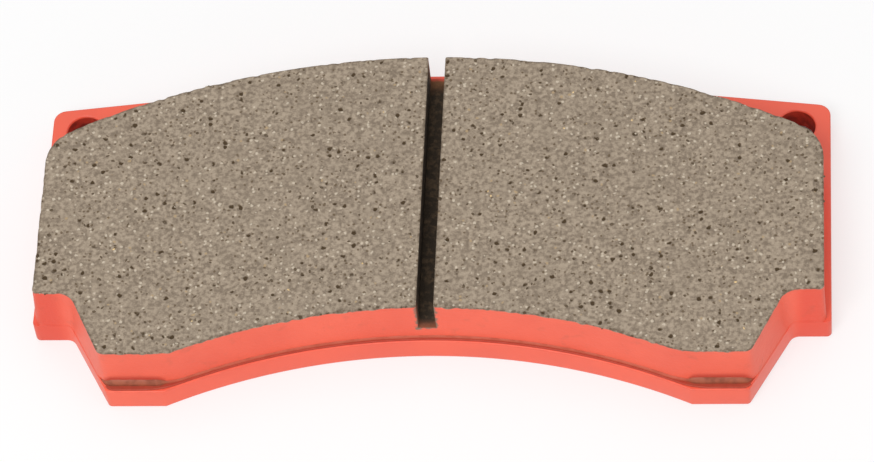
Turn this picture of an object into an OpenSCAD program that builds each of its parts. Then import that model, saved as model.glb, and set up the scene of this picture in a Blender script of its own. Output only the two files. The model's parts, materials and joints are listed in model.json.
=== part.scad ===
// Disc brake pad for a fixed caliper. A stamped steel backing plate hangs on two pins
// near its upper corners and carries a moulded lining, which a radial slot divides.
// The pad lies on its back face: X runs across it, +Y points away from the wheel's
// centre and +Z points from the back face to the friction face.

/* [Backing plate] */
// Width across the abutment sides
plate_w = 150; // [135:1:170]
// Height from the feet to the crown
plate_h = 71.7; // [66:0.1:80]
// Thickness of the steel
plate_t = 5.2; // [4:0.1:7]
// Length of the flat crown
crown_w = 16.7; // [10:0.1:30]
// Blend between the crown and the shoulders
crown_r = 20; // [5:1:40]
// Fall of the shoulders from the crown to the upper corners
shoulder_drop = 7.7; // [5:0.1:11]
// Radius of the upper corners
corner_r = 2.5; // [1.5:0.1:5]
// Height of the ears' undersides above the feet
ear_h = 14.7; // [10:0.1:18]
// Radius of the ears' lower corners
ear_r = 0.9; // [0.5:0.1:2]
// Width of the step under each ear
step_w = 7.2; // [5:0.1:9]
// Fillet in the corner of the step
step_r = 2; // [1:0.1:3]
// Width that each flank takes on its way down to the foot
flank_w = 8; // [5:0.1:11]
// Length of each foot
foot_w = 10.7; // [7:0.1:14]
// Radius of the feet's outer corners
foot_r = 0.9; // [0.5:0.1:2]
// Rise of the arch between the feet
arch_rise = 10.8; // [8:0.1:14]

/* [Pin holes] */
// Diameter of the retaining pins
pin_d = 7; // [5:0.1:8]
// Clearance on the diameter of the pins
pin_clearance = 0.2; // [0.1:0.05:0.5]
// Distance from each side to the centre of its hole
pin_side = 6.5; // [5.5:0.1:8]
// Distance from the crown down to the centres of the holes
pin_drop = 12.5; // [11.5:0.1:15]

/* [Lining] */
// Thickness of the adhesive film
bond_t = 0.3; // [0.2:0.05:0.6]
// Thickness of the underlayer
under_t = 3.1; // [2:0.1:5]
// Thickness of the friction blocks
block_t = 7.1; // [4:0.1:10]
// Distance from the crown down to the top of the lining
lining_drop = 3; // [2:0.1:6]
// Wall left between the lining and the pin holes
pin_gap = 2.3; // [1.5:0.1:4]
// Radius of the lining's upper corners
lining_corner_r = 8.5; // [4:0.1:11]
// Inset of the lining from the sides
side_inset = 1.3; // [0.6:0.1:2.5]
// Inset of the lining from the undersides of the ears
ear_inset = 0.6; // [0.3:0.1:2]
// Inset of the lining from the lower ends of the flanks
flank_inset = 0.5; // [0.3:0.1:2]
// Angle by which the lining's flanks stand steeper than the plate's
flank_turn = 3; // [0:0.5:8]
// Ledge left on each foot
foot_ledge = 1.8; // [0.8:0.1:3]
// Inset of the lining from the arch
arch_inset = 0.9; // [0.3:0.1:2]
// Fillet in the lining's step
lining_step_r = 4; // [2:0.1:6]
// Radius of the outer corners of the lining's feet
lining_foot_r = 1.6; // [0.8:0.1:2.5]
// Blend between the lining's feet and its arch
toe_r = 16; // [6:1:24]
// Margin between the adhesive film and the plate's lower edges
bond_margin = 0.3; // [0.2:0.1:0.6]
// Width of the radial slot
slot_w = 3.2; // [2:0.1:5]

/* [Hidden] */
$fn = 96;

// Heights of the layers above the back face
bond_z = plate_t;
under_z = bond_z + bond_t;
block_z = under_z + under_t;

// Main points of the plate, measured from the middle of the line through the feet
side_x = plate_w / 2;
step_x = side_x - step_w;
foot_x = step_x - flank_w;
arch_half = foot_x - foot_w;
shoulder_y = plate_h - shoulder_drop;
flank_angle = atan2(ear_h, flank_w);

// The arch is one arc through the inner ends of the feet
arch_r = (arch_half * arch_half + arch_rise * arch_rise) / (2 * arch_rise);
arch_y = arch_rise - arch_r;

// Pin holes
hole_r = (pin_d + pin_clearance) / 2;
hole_x = side_x - pin_side;
hole_y = plate_h - pin_drop;

// The lining's top is one arc through its highest point that clears both pin holes
lining_top = plate_h - lining_drop;
hole_reach = lining_top + hole_r + pin_gap;
top_y = (pow(hole_reach, 2) - pow(hole_x, 2) - pow(hole_y, 2)) / (2 * (hole_reach - hole_y));
top_r = lining_top - top_y;

// Edges of the lining, and the discs that round its upper corners
lining_x = side_x - side_inset;
lining_ear_y = ear_h + ear_inset;
lining_corner_x = lining_x - lining_corner_r;
lining_corner_y = top_y + sqrt(pow(top_r - lining_corner_r, 2) - pow(lining_corner_x, 2));
lining_corner = [lining_corner_x, lining_corner_y];
lining_corner_end = [0, top_y] + toward([0, top_y], lining_corner) * top_r;

// Room for cuts to pass right through
over = 1;

// Place of the lining's flank at a height above the feet
function flank_at(y) =
    let (low = foot_x + foot_ledge / tan(flank_angle) - flank_inset / sin(flank_angle))
    low + (y - foot_ledge) / tan(flank_angle + flank_turn);

// Unit vector from one point to another
function toward(from, to) = (to - from) / norm(to - from);

// Half of the angle between the two edges that meet at the middle point of a trio
function half_angle(trio) = acos(toward(trio[1], trio[0]) * toward(trio[1], trio[2])) / 2;

// Centre of the arc of radius r that touches both edges of a trio
function arc_centre(trio, r) =
    let (middle = toward(trio[1], trio[0]) + toward(trio[1], trio[2]))
    trio[1] + middle / norm(middle) * r / sin(half_angle(trio));

// The points where that arc leaves the edges
function arc_ends(trio, r) =
    let (reach = r / tan(half_angle(trio)))
    r > 0 ? [for (end = [0, 2]) trio[1] + toward(trio[1], trio[end]) * reach] : [trio[1]];

// True where the outline turns left, as it does at an outer corner
function turns_left(trio) = cross(trio[1] - trio[0], trio[2] - trio[1]) > 0;

// Corners of the form [x, y, radius] run counter-clockwise, and a radius of 0 is a sharp corner
module rounded_outline(corners) {
    count = len(corners);
    last = count - 1;
    points = [for (corner = corners) [corner[0], corner[1]]];
    trios = [for (i = [0 : last]) [points[(i + last) % count], points[i], points[(i + 1) % count]]];
    difference() {
        union() {
            polygon([for (i = [0 : last]) each arc_ends(trios[i], corners[i][2])]);
            for (i = [0 : last])
                if (turns_left(trios[i]))
                    corner_disc(trios[i], corners[i][2]);
        }
        for (i = [0 : last])
            if (!turns_left(trios[i]))
                corner_disc(trios[i], corners[i][2]);
    }
}

// Disc whose rim rounds one corner
module corner_disc(trio, r) {
    if (r > 0)
        translate(arc_centre(trio, r))
            circle(r = r);
}

// A right-hand run of corners, upwards, joined to its mirror image
function both_sides(corners) =
    concat(corners, [for (i = [len(corners) - 1 : -1 : 0]) [-corners[i][0], corners[i][1], corners[i][2]]]);

// Disc whose rim is the arch between the feet, grown by an inset
module arch_disc(inset = 0) {
    translate([0, arch_y])
        circle(r = arch_r + inset);
}

module plate_outline() {
    difference() {
        rounded_outline(both_sides([
            [foot_x, 0, foot_r],
            [step_x, ear_h, step_r],
            [side_x, ear_h, ear_r],
            [side_x, shoulder_y, corner_r],
            [crown_w / 2, plate_h, crown_r],
        ]));
        arch_disc();
    }
}

// What the blend takes off the inner end of one of the lining's feet
module toe_cut(side, foot_y, arch_margin) {
    arch_edge_r = arch_r + arch_margin;
    toe_y = foot_y + toe_r;
    toe = [side * sqrt(pow(arch_edge_r + toe_r, 2) - pow(toe_y - arch_y, 2)), toe_y];
    arch_end = [0, arch_y] + toward([0, arch_y], toe) * arch_edge_r;
    difference() {
        polygon([toe, arch_end, [arch_end[0], foot_y - over], [toe[0], foot_y - over]]);
        translate(toe)
            circle(r = toe_r);
    }
}

// The lining follows the plate's lower edges at its own insets, and its upper corners
// are discs that touch both the side and the top arc
module lining_outline(foot_y, arch_margin) {
    difference() {
        union() {
            intersection() {
                rounded_outline(both_sides([
                    [flank_at(foot_y), foot_y, lining_foot_r],
                    [flank_at(lining_ear_y), lining_ear_y, lining_step_r],
                    [lining_x, lining_ear_y, ear_r],
                    [lining_x, lining_corner[1], 0],
                    [lining_corner_end[0], lining_corner_end[1], 0],
                    [lining_corner_end[0], plate_h, 0],
                ]));
                translate([0, top_y])
                    circle(r = top_r);
            }
            for (side = [-1, 1])
                translate([side * lining_corner[0], lining_corner[1]])
                    circle(r = lining_corner_r);
        }
        arch_disc(arch_margin);
        for (side = [-1, 1])
            toe_cut(side, foot_y, arch_margin);
    }
}

// Places an outline drawn from the feet up so that the pad's middle is at the origin
module layer(z, thickness) {
    translate([0, -plate_h / 2, z])
        linear_extrude(thickness)
            children();
}

// One half of the friction compound, on the right of the slot
module friction_half() {
    layer(block_z, block_t)
        intersection() {
            lining_outline(foot_ledge, arch_inset);
            translate([slot_w / 2, 0])
                square([side_x, plate_h]);
        }
}

module backing_plate() {
    color("tomato")
        difference() {
            layer(0, plate_t)
                plate_outline();
            for (side = [-1, 1])
                translate([side * hole_x, hole_y - plate_h / 2, -over])
                    cylinder(r = hole_r, h = plate_t + 2 * over);
        }
}

module bond_layer() {
    color("saddlebrown")
        layer(bond_z, bond_t)
            lining_outline(bond_margin, bond_margin);
}

module underlayer() {
    color("indianred")
        layer(under_z, under_t)
            lining_outline(foot_ledge, arch_inset);
}

module friction_block_left() {
    color("gray")
        mirror([1, 0, 0])
            friction_half();
}

module friction_block_right() {
    color("gray")
        friction_half();
}

backing_plate();
bond_layer();
underlayer();
friction_block_left();
friction_block_right();
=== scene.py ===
"""A disc brake pad for a fixed caliper, lying on its back face.

The painted backing plate, the bond film, the underlayer and the two friction blocks each
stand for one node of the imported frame. Sizes are metres, in the frame's own axes.
"""

import json
import logging
import math
from collections.abc import Callable, Sequence
from dataclasses import dataclass, field
from enum import Enum
from typing import Any

import bpy
import numpy as np
from mathutils import Matrix, Vector
from mathutils.geometry import delaunay_2d_cdt


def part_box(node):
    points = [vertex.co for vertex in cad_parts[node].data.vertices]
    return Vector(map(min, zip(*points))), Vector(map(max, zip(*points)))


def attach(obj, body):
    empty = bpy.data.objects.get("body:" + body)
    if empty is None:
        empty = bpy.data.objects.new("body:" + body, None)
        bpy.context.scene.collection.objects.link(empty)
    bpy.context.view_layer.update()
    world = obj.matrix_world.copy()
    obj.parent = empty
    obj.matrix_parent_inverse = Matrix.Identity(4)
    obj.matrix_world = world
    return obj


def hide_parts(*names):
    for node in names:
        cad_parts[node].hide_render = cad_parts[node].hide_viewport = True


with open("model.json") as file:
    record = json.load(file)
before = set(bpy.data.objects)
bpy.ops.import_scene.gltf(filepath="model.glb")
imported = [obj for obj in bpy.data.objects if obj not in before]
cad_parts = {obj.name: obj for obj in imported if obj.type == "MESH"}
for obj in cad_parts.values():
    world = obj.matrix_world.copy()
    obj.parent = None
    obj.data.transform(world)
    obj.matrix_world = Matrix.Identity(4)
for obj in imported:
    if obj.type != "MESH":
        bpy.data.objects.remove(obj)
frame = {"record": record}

LOG = logging.getLogger("brake_pad")

BODY = "root"
MM = 0.001
NOISE_MIDDLE = 0.5
SHARP_ANGLE = math.radians(55.0)
# The marks: the ground face; edges, which carry wear on the plate, painted shade at the root of the lining's
# walls and the blocks' broken rim; and painted shade under the ears.
MARKS = ("ground", "edge", "pool")

Colour = tuple[float, float, float, float]
Object = bpy.types.Object
Material = bpy.types.Material
Socket = bpy.types.NodeSocket
# What an input of a node takes: a socket to link, or a plain value
Value = Any


class Side(Enum):
    """The two halves of the lining, by the sign of X."""

    LEFT = -1
    RIGHT = 1


class Stretch(Enum):
    """The stretches of the pad's outlines."""

    ARCH = "arch"
    FOOT = "foot"
    FLANK = "flank"
    EAR = "ear"
    SIDE = "side"
    TOP = "top"
    SLOT = "slot"


class Zone(Enum):
    """The differently finished faces of one piece, by material index."""

    FACE = 0
    WALL = 1
    CUT = 2


@dataclass(frozen=True)
class PadFrame:
    """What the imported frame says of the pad.

    Attributes:
        half_width: Half of the plate's width.
        feet_y: Height of the plate's feet.
        crown_y: Height of the plate's crown.
        plate_top: Upper face of the plate.
        bond_top: Upper face of the bond film.
        under_top: Upper face of the underlayer.
        face: The friction face.
        lining_x: Half of the lining's width.
        lining_foot_y: Height of the lining's feet.
        lining_top_y: Highest point of the lining.
        bond_foot_y: Height of the bond film's feet.
        slot_half: Half of the slot's width.
        hole_x: Distance of the pin holes from the middle.
        hole_y: Height of the pin holes.
        hole_radius: Radius of the pin holes.
    """

    half_width: float
    feet_y: float
    crown_y: float
    plate_top: float
    bond_top: float
    under_top: float
    face: float
    lining_x: float
    lining_foot_y: float
    lining_top_y: float
    bond_foot_y: float
    slot_half: float
    hole_x: float
    hole_y: float
    hole_radius: float

    @classmethod
    def measured(cls, record: dict[str, Any]) -> "PadFrame":
        """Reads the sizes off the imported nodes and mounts.

        Args:
            record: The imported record.

        Returns:
            The sizes of the pad.
        """
        plate_low, plate_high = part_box("backing_plate")
        bond_low, bond_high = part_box("bond_layer")
        under_low, under_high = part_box("underlayer")
        block_low, block_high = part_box("friction_block_right")
        hole = next(mount for mount in record["mounts"] if mount["name"] == "pin_hole_right")
        return cls(
            half_width=plate_high.x,
            feet_y=plate_low.y,
            crown_y=plate_high.y,
            plate_top=plate_high.z,
            bond_top=bond_high.z,
            under_top=under_high.z,
            face=block_high.z,
            lining_x=under_high.x,
            lining_foot_y=under_low.y,
            lining_top_y=under_high.y,
            bond_foot_y=bond_low.y,
            slot_half=block_low.x,
            hole_x=hole["pos_m"][0],
            hole_y=hole["pos_m"][1],
            hole_radius=hole["dims"]["r_mm"] * MM,
        )


# Outlines


@dataclass(frozen=True)
class Corner:
    """A corner of an outline.

    Attributes:
        x: Place across the pad.
        y: Place up the pad.
        radius: Radius of its rounding, or 0 for a sharp corner.
        after: The stretch that leaves it.
    """

    x: float
    y: float
    radius: float
    after: Stretch

    @property
    def place(self) -> Vector:
        """The corner's point."""
        return Vector((self.x, self.y))


@dataclass
class Pen:
    """Draws a run of evenly spaced points.

    Attributes:
        spacing: Distance between points.
        points: The points so far.
        tags: The stretch that leaves each of them.
    """

    spacing: float
    points: list[Vector] = field(default_factory=list)
    tags: list[Stretch] = field(default_factory=list)

    def line(self, start: Vector, end: Vector, tag: Stretch) -> None:
        """Adds a straight stretch, without its end point.

        Args:
            start: First point.
            end: Where the stretch ends.
            tag: The stretch's name.
        """
        count = max(1, round((end - start).length / self.spacing))
        for step in range(count):
            self.points.append(start.lerp(end, step / count))
            self.tags.append(tag)

    def arc(self, centre: Vector, radius: float, begin: float, end: float, tag: Stretch) -> None:
        """Adds a round stretch, without its end point.

        Args:
            centre: Centre of the arc.
            radius: Radius of the arc.
            begin: Angle at which it starts.
            end: Angle at which it ends.
            tag: The stretch's name.
        """
        least = 4
        count = max(least, round(radius * abs(end - begin) / self.spacing))
        for step in range(count):
            angle = begin + (end - begin) * step / count
            self.points.append(centre + radius * Vector((math.cos(angle), math.sin(angle))))
            self.tags.append(tag)

    def run(self, corners: Sequence[Corner]) -> None:
        """Adds straight stretches with rounded corners between them, without the last point.

        Args:
            corners: The corners, of which the first and the last are sharp.
        """
        place = corners[0].place
        for before, corner, after in zip(corners, corners[1:], corners[2:]):
            back = (before.place - corner.place).normalized()
            on = (after.place - corner.place).normalized()
            half = back.angle(on) / 2
            middle = (back + on).normalized()
            centre = corner.place + middle * (corner.radius / math.sin(half))
            reach = corner.radius / math.tan(half)
            first = corner.place + back * reach
            self.line(place, first, before.after)
            place = corner.place + on * reach
            begin = math.atan2(*(first - centre).yx)
            end = math.atan2(*(place - centre).yx)
            turn = (end - begin + math.pi) % math.tau - math.pi
            self.arc(centre, corner.radius, begin, begin + turn, before.after)
        self.line(place, corners[-1].place, corners[-2].after)


@dataclass
class Outline:
    """A closed outline, counter-clockwise.

    Attributes:
        points: One row of x and y for each point.
        tags: The stretch that leaves each point.
    """

    points: np.ndarray
    tags: list[Stretch]

    @classmethod
    def both_sides(cls, pen: Pen, top: Vector) -> "Outline":
        """Joins a right-hand run to its mirror image.

        Args:
            pen: A run that starts on the middle line.
            top: The run's end, on the middle line.

        Returns:
            The whole outline.
        """
        mirrored = [Vector((-point.x, point.y)) for point in reversed(pen.points[1:])]
        points = [*pen.points, top, *mirrored]
        return cls(np.array(points), [*pen.tags, *reversed(pen.tags)])

    def mirrored(self) -> "Outline":
        """Mirrors the outline.

        Returns:
            Its mirror image, still counter-clockwise.
        """
        points = (self.points * (-1.0, 1.0))[::-1]
        tags = self.tags[::-1]
        return Outline(points, [*tags[1:], tags[0]])

    def outward(self) -> np.ndarray:
        """Finds the way out at each point.

        Returns:
            Rows of x and y, each as long as a step of 1 square to both edges needs.
        """
        ahead = np.roll(self.points, -1, axis=0) - self.points
        ahead /= np.linalg.norm(ahead, axis=1, keepdims=True)
        after = np.stack((ahead[:, 1], -ahead[:, 0]), axis=1)
        before = np.roll(after, 1, axis=0)
        return (after + before) / (1.0 + np.sum(after * before, axis=1, keepdims=True))

    def inset(self, amount: float | np.ndarray) -> np.ndarray:
        """Moves the outline inwards by a distance, for all points or for each."""
        return self.points - self.outward() * np.reshape(amount, (-1, 1))

    def on(self, *stretches: Stretch) -> np.ndarray:
        """True for each point of certain stretches."""
        return np.array([tag in stretches for tag in self.tags])

    def share(self, reach: int, *stretches: Stretch) -> np.ndarray:
        """How far each point belongs to certain stretches, which fade out over a number of points."""
        return faded(self.on(*stretches).astype(float), reach)

    def zones(self, zone: Zone, rest: Zone, *stretches: Stretch) -> list[Zone]:
        """One zone for each point of certain stretches, and another for the rest."""
        return [zone if tag in stretches else rest for tag in self.tags]


@dataclass(frozen=True)
class PlateOutline:
    """The backing plate's outline.

    Attributes:
        pad: Sizes from the frame.
        crown_half: Half of the flat crown.
        crown_radius: Blend between the crown and the shoulders.
        shoulder_drop: Fall of the shoulders.
        corner_radius: Radius of the upper corners.
        ear_height: Height of the ears' undersides above the feet.
        ear_radius: Radius of the ears' lower corners.
        step_width: Width of the step under each ear.
        step_radius: Fillet in the step.
        flank_width: Width that each flank takes.
        foot_width: Length of each foot.
        foot_radius: Radius of the feet's outer corners.
        arch_rise: Rise of the arch.
    """

    pad: PadFrame
    crown_half: float = 0.00835
    crown_radius: float = 0.020
    shoulder_drop: float = 0.0077
    corner_radius: float = 0.0025
    ear_height: float = 0.0147
    ear_radius: float = 0.0009
    step_width: float = 0.0072
    step_radius: float = 0.002
    flank_width: float = 0.008
    foot_width: float = 0.0107
    foot_radius: float = 0.0009
    arch_rise: float = 0.0108

    @property
    def step_x(self) -> float:
        """Place of the step's inner corner."""
        return self.pad.half_width - self.step_width

    @property
    def foot_x(self) -> float:
        """Place of the foot's outer corner."""
        return self.step_x - self.flank_width

    @property
    def foot_middle(self) -> float:
        """Place of the middle of the right foot."""
        return self.foot_x - self.foot_width / 2

    @property
    def arch_half(self) -> float:
        """Half of the arch's span."""
        return self.foot_x - self.foot_width

    @property
    def arch_radius(self) -> float:
        """Radius of the arch."""
        return (self.arch_half**2 + self.arch_rise**2) / (2 * self.arch_rise)

    @property
    def arch_centre(self) -> Vector:
        """Centre of the arch."""
        return Vector((0.0, self.pad.feet_y + self.arch_rise - self.arch_radius))

    @property
    def flank_angle(self) -> float:
        """Angle of the right flank above the X axis."""
        return math.atan2(self.ear_height, self.flank_width)

    def drawn(self, spacing: float) -> Outline:
        """Draws the plate.

        Args:
            spacing: Distance between points.

        Returns:
            The plate's outline.
        """
        pad = self.pad
        pen = Pen(spacing)
        centre = self.arch_centre
        end = math.atan2(pad.feet_y - centre.y, self.arch_half)
        pen.arc(centre, self.arch_radius, math.pi / 2, end, Stretch.ARCH)
        ear_y = pad.feet_y + self.ear_height
        pen.run(
            (
                Corner(self.arch_half, pad.feet_y, 0.0, Stretch.FOOT),
                Corner(self.foot_x, pad.feet_y, self.foot_radius, Stretch.FLANK),
                Corner(self.step_x, ear_y, self.step_radius, Stretch.EAR),
                Corner(pad.half_width, ear_y, self.ear_radius, Stretch.SIDE),
                Corner(pad.half_width, pad.crown_y - self.shoulder_drop, self.corner_radius, Stretch.TOP),
                Corner(self.crown_half, pad.crown_y, self.crown_radius, Stretch.TOP),
                Corner(0.0, pad.crown_y, 0.0, Stretch.TOP),
            )
        )
        return Outline.both_sides(pen, Vector((0.0, pad.crown_y)))


@dataclass(frozen=True)
class LiningOutline:
    """The lining's outline, which follows the plate's lower edges.

    Attributes:
        plate: The plate that it lies on.
        corner_radius: Radius of the upper corners.
        ear_inset: Inset from the undersides of the ears.
        flank_inset: Inset from the lower ends of the flanks.
        flank_turn: Degrees by which the flanks stand steeper than the plate's.
        arch_inset: Inset from the arch.
        step_radius: Fillet in the step.
        foot_radius: Radius of the feet's outer corners.
        toe_radius: Blend between the feet and the arch.
        pin_gap: Wall left between the lining and the pin holes.
        slot_corner_radius: Rounding of the slot's corners.
        seam_gap: Ledge left where paint carries the walls of ears and flanks out to the plate's edge.
        seam_spacing: Distance between the points of the edge that it is measured from.
        largest_flare: Limit of that flare.
        flare_reach: Points over which it fades.
        swell_half: Half of the length over which the bead swells on each foot.
        swell_power: How squarely it swells.
    """

    plate: PlateOutline
    corner_radius: float = 0.0085
    ear_inset: float = 0.0006
    flank_inset: float = 0.0005
    flank_turn: float = 3.0
    arch_inset: float = 0.0009
    step_radius: float = 0.004
    foot_radius: float = 0.0016
    toe_radius: float = 0.016
    pin_gap: float = 0.0023
    slot_corner_radius: float = 0.00035
    seam_gap: float = 0.00006
    seam_spacing: float = 0.0002
    largest_flare: float = 0.0012
    flare_reach: int = 4
    swell_half: float = 0.006
    swell_power: int = 10

    @property
    def pad(self) -> PadFrame:
        """Sizes from the frame."""
        return self.plate.pad

    @property
    def mouth_y(self) -> float:
        """Where the middle line meets the arch."""
        return self.pad.feet_y + self.plate.arch_rise + self.arch_inset

    def flank_at(self, y: float) -> float:
        """Finds the right flank.

        Args:
            y: A height.

        Returns:
            Its place across the pad at that height.
        """
        angle = self.plate.flank_angle
        foot_y = self.pad.lining_foot_y
        ledge = foot_y - self.pad.feet_y
        low = self.plate.foot_x + ledge / math.tan(angle) - self.flank_inset / math.sin(angle)
        return low + (y - foot_y) / math.tan(angle + math.radians(self.flank_turn))

    def flare(self, outline: Outline) -> np.ndarray:
        """How far the foot of the wall stands out at each point of ears and flanks.

        Args:
            outline: An outline of the lining.

        Returns:
            One distance for each point.
        """
        edge = self.plate.drawn(self.seam_spacing).points
        filled = outline.on(Stretch.EAR, Stretch.FLANK)
        flare = np.zeros(len(outline.points))
        gaps = np.linalg.norm(outline.points[filled, None] - edge[None], axis=2).min(axis=1)
        flare[filled] = np.clip(gaps - self.seam_gap, 0.0, self.largest_flare)
        return faded(flare, self.flare_reach)

    def lean(self, outline: Outline) -> np.ndarray:
        """How far the wall stands out at each point, for each metre below the friction face."""
        return self.flare(outline) / (self.pad.face - self.pad.plate_top)

    def swell(self, points: np.ndarray) -> np.ndarray:
        """1 in the middle of each foot, falling to 0 at its ends."""
        off_middle = (np.abs(points[:, 0]) - self.plate.foot_middle) / self.swell_half
        return np.clip(1.0 - off_middle**self.swell_power, 0.0, 1.0)

    def top_arc(self) -> tuple[Vector, float]:
        """The arc of the lining's top, which clears both pin holes.

        Returns:
            The arc's centre and radius.
        """
        pad = self.pad
        reach = pad.lining_top_y + pad.hole_radius + self.pin_gap
        level = (reach**2 - pad.hole_x**2 - pad.hole_y**2) / (2 * (reach - pad.hole_y))
        return Vector((0.0, level)), pad.lining_top_y - level

    def right_run(self, spacing: float, start_x: float, foot_y: float, arch_inset: float) -> Pen:
        """Draws the right-hand half, from the arch round to the top.

        Args:
            spacing: Distance between points.
            start_x: Where the run starts and ends.
            foot_y: Height of the feet.
            arch_inset: Inset from the arch.

        Returns:
            The run, whose last point is left off.
        """
        pen = Pen(spacing)
        side_x = self.pad.lining_x
        arch_centre = self.plate.arch_centre
        arch_radius = self.plate.arch_radius + arch_inset
        toe_rise = foot_y + self.toe_radius - arch_centre.y
        arch_end = math.asin(toe_rise / (arch_radius + self.toe_radius))
        toe = Vector((toe_rise / math.tan(arch_end), foot_y + self.toe_radius))
        pen.arc(arch_centre, arch_radius, math.acos(start_x / arch_radius), arch_end, Stretch.ARCH)
        pen.arc(toe, self.toe_radius, arch_end + math.pi, 1.5 * math.pi, Stretch.FOOT)
        ear_y = self.pad.feet_y + self.plate.ear_height + self.ear_inset
        top_centre, top_radius = self.top_arc()
        corner_x = side_x - self.corner_radius
        corner_y = top_centre.y + math.sqrt((top_radius - self.corner_radius) ** 2 - corner_x**2)
        corner = Vector((corner_x, corner_y))
        pen.run(
            (
                Corner(toe.x, foot_y, 0.0, Stretch.FOOT),
                Corner(self.flank_at(foot_y), foot_y, self.foot_radius, Stretch.FLANK),
                Corner(self.flank_at(ear_y), ear_y, self.step_radius, Stretch.EAR),
                Corner(side_x, ear_y, self.plate.ear_radius, Stretch.SIDE),
                Corner(side_x, corner_y, 0.0, Stretch.SIDE),
            )
        )
        turn = math.atan2(*(corner - top_centre).yx)
        pen.arc(corner, self.corner_radius, 0.0, turn, Stretch.TOP)
        pen.arc(top_centre, top_radius, turn, math.acos(start_x / top_radius), Stretch.TOP)
        return pen

    def whole(self, spacing: float, foot_y: float, arch_inset: float) -> Outline:
        """Draws an undivided layer of the lining, by the height of its feet and its inset from the arch."""
        pen = self.right_run(spacing, 0.0, foot_y, arch_inset)
        return Outline.both_sides(pen, Vector((0.0, self.pad.lining_top_y)))

    def body(self, spacing: float) -> Outline:
        """Draws the undivided lining itself."""
        return self.whole(spacing, self.pad.lining_foot_y, self.arch_inset)

    def half(self, spacing: float, side: Side) -> Outline:
        """Draws one half of the lining, beside the slot.

        Args:
            spacing: Distance between points.
            side: Which half.

        Returns:
            The outline.
        """
        radius = self.slot_corner_radius
        start_x = self.pad.slot_half + radius
        pen = self.right_run(spacing, start_x, self.pad.lining_foot_y, self.arch_inset)
        top_centre, top_radius = self.top_arc()
        far = Vector((start_x, top_centre.y + math.sqrt(top_radius**2 - start_x**2) - radius))
        near = pen.points[0] + Vector((0.0, radius))
        wall = Vector((-radius, 0.0))
        pen.arc(far, radius, math.pi / 2, math.pi, Stretch.TOP)
        pen.line(far + wall, near + wall, Stretch.SLOT)
        pen.arc(near, radius, math.pi, 1.5 * math.pi, Stretch.ARCH)
        right = Outline(np.array(pen.points), pen.tags)
        return right if side is Side.RIGHT else right.mirrored()


# Meshes


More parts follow.
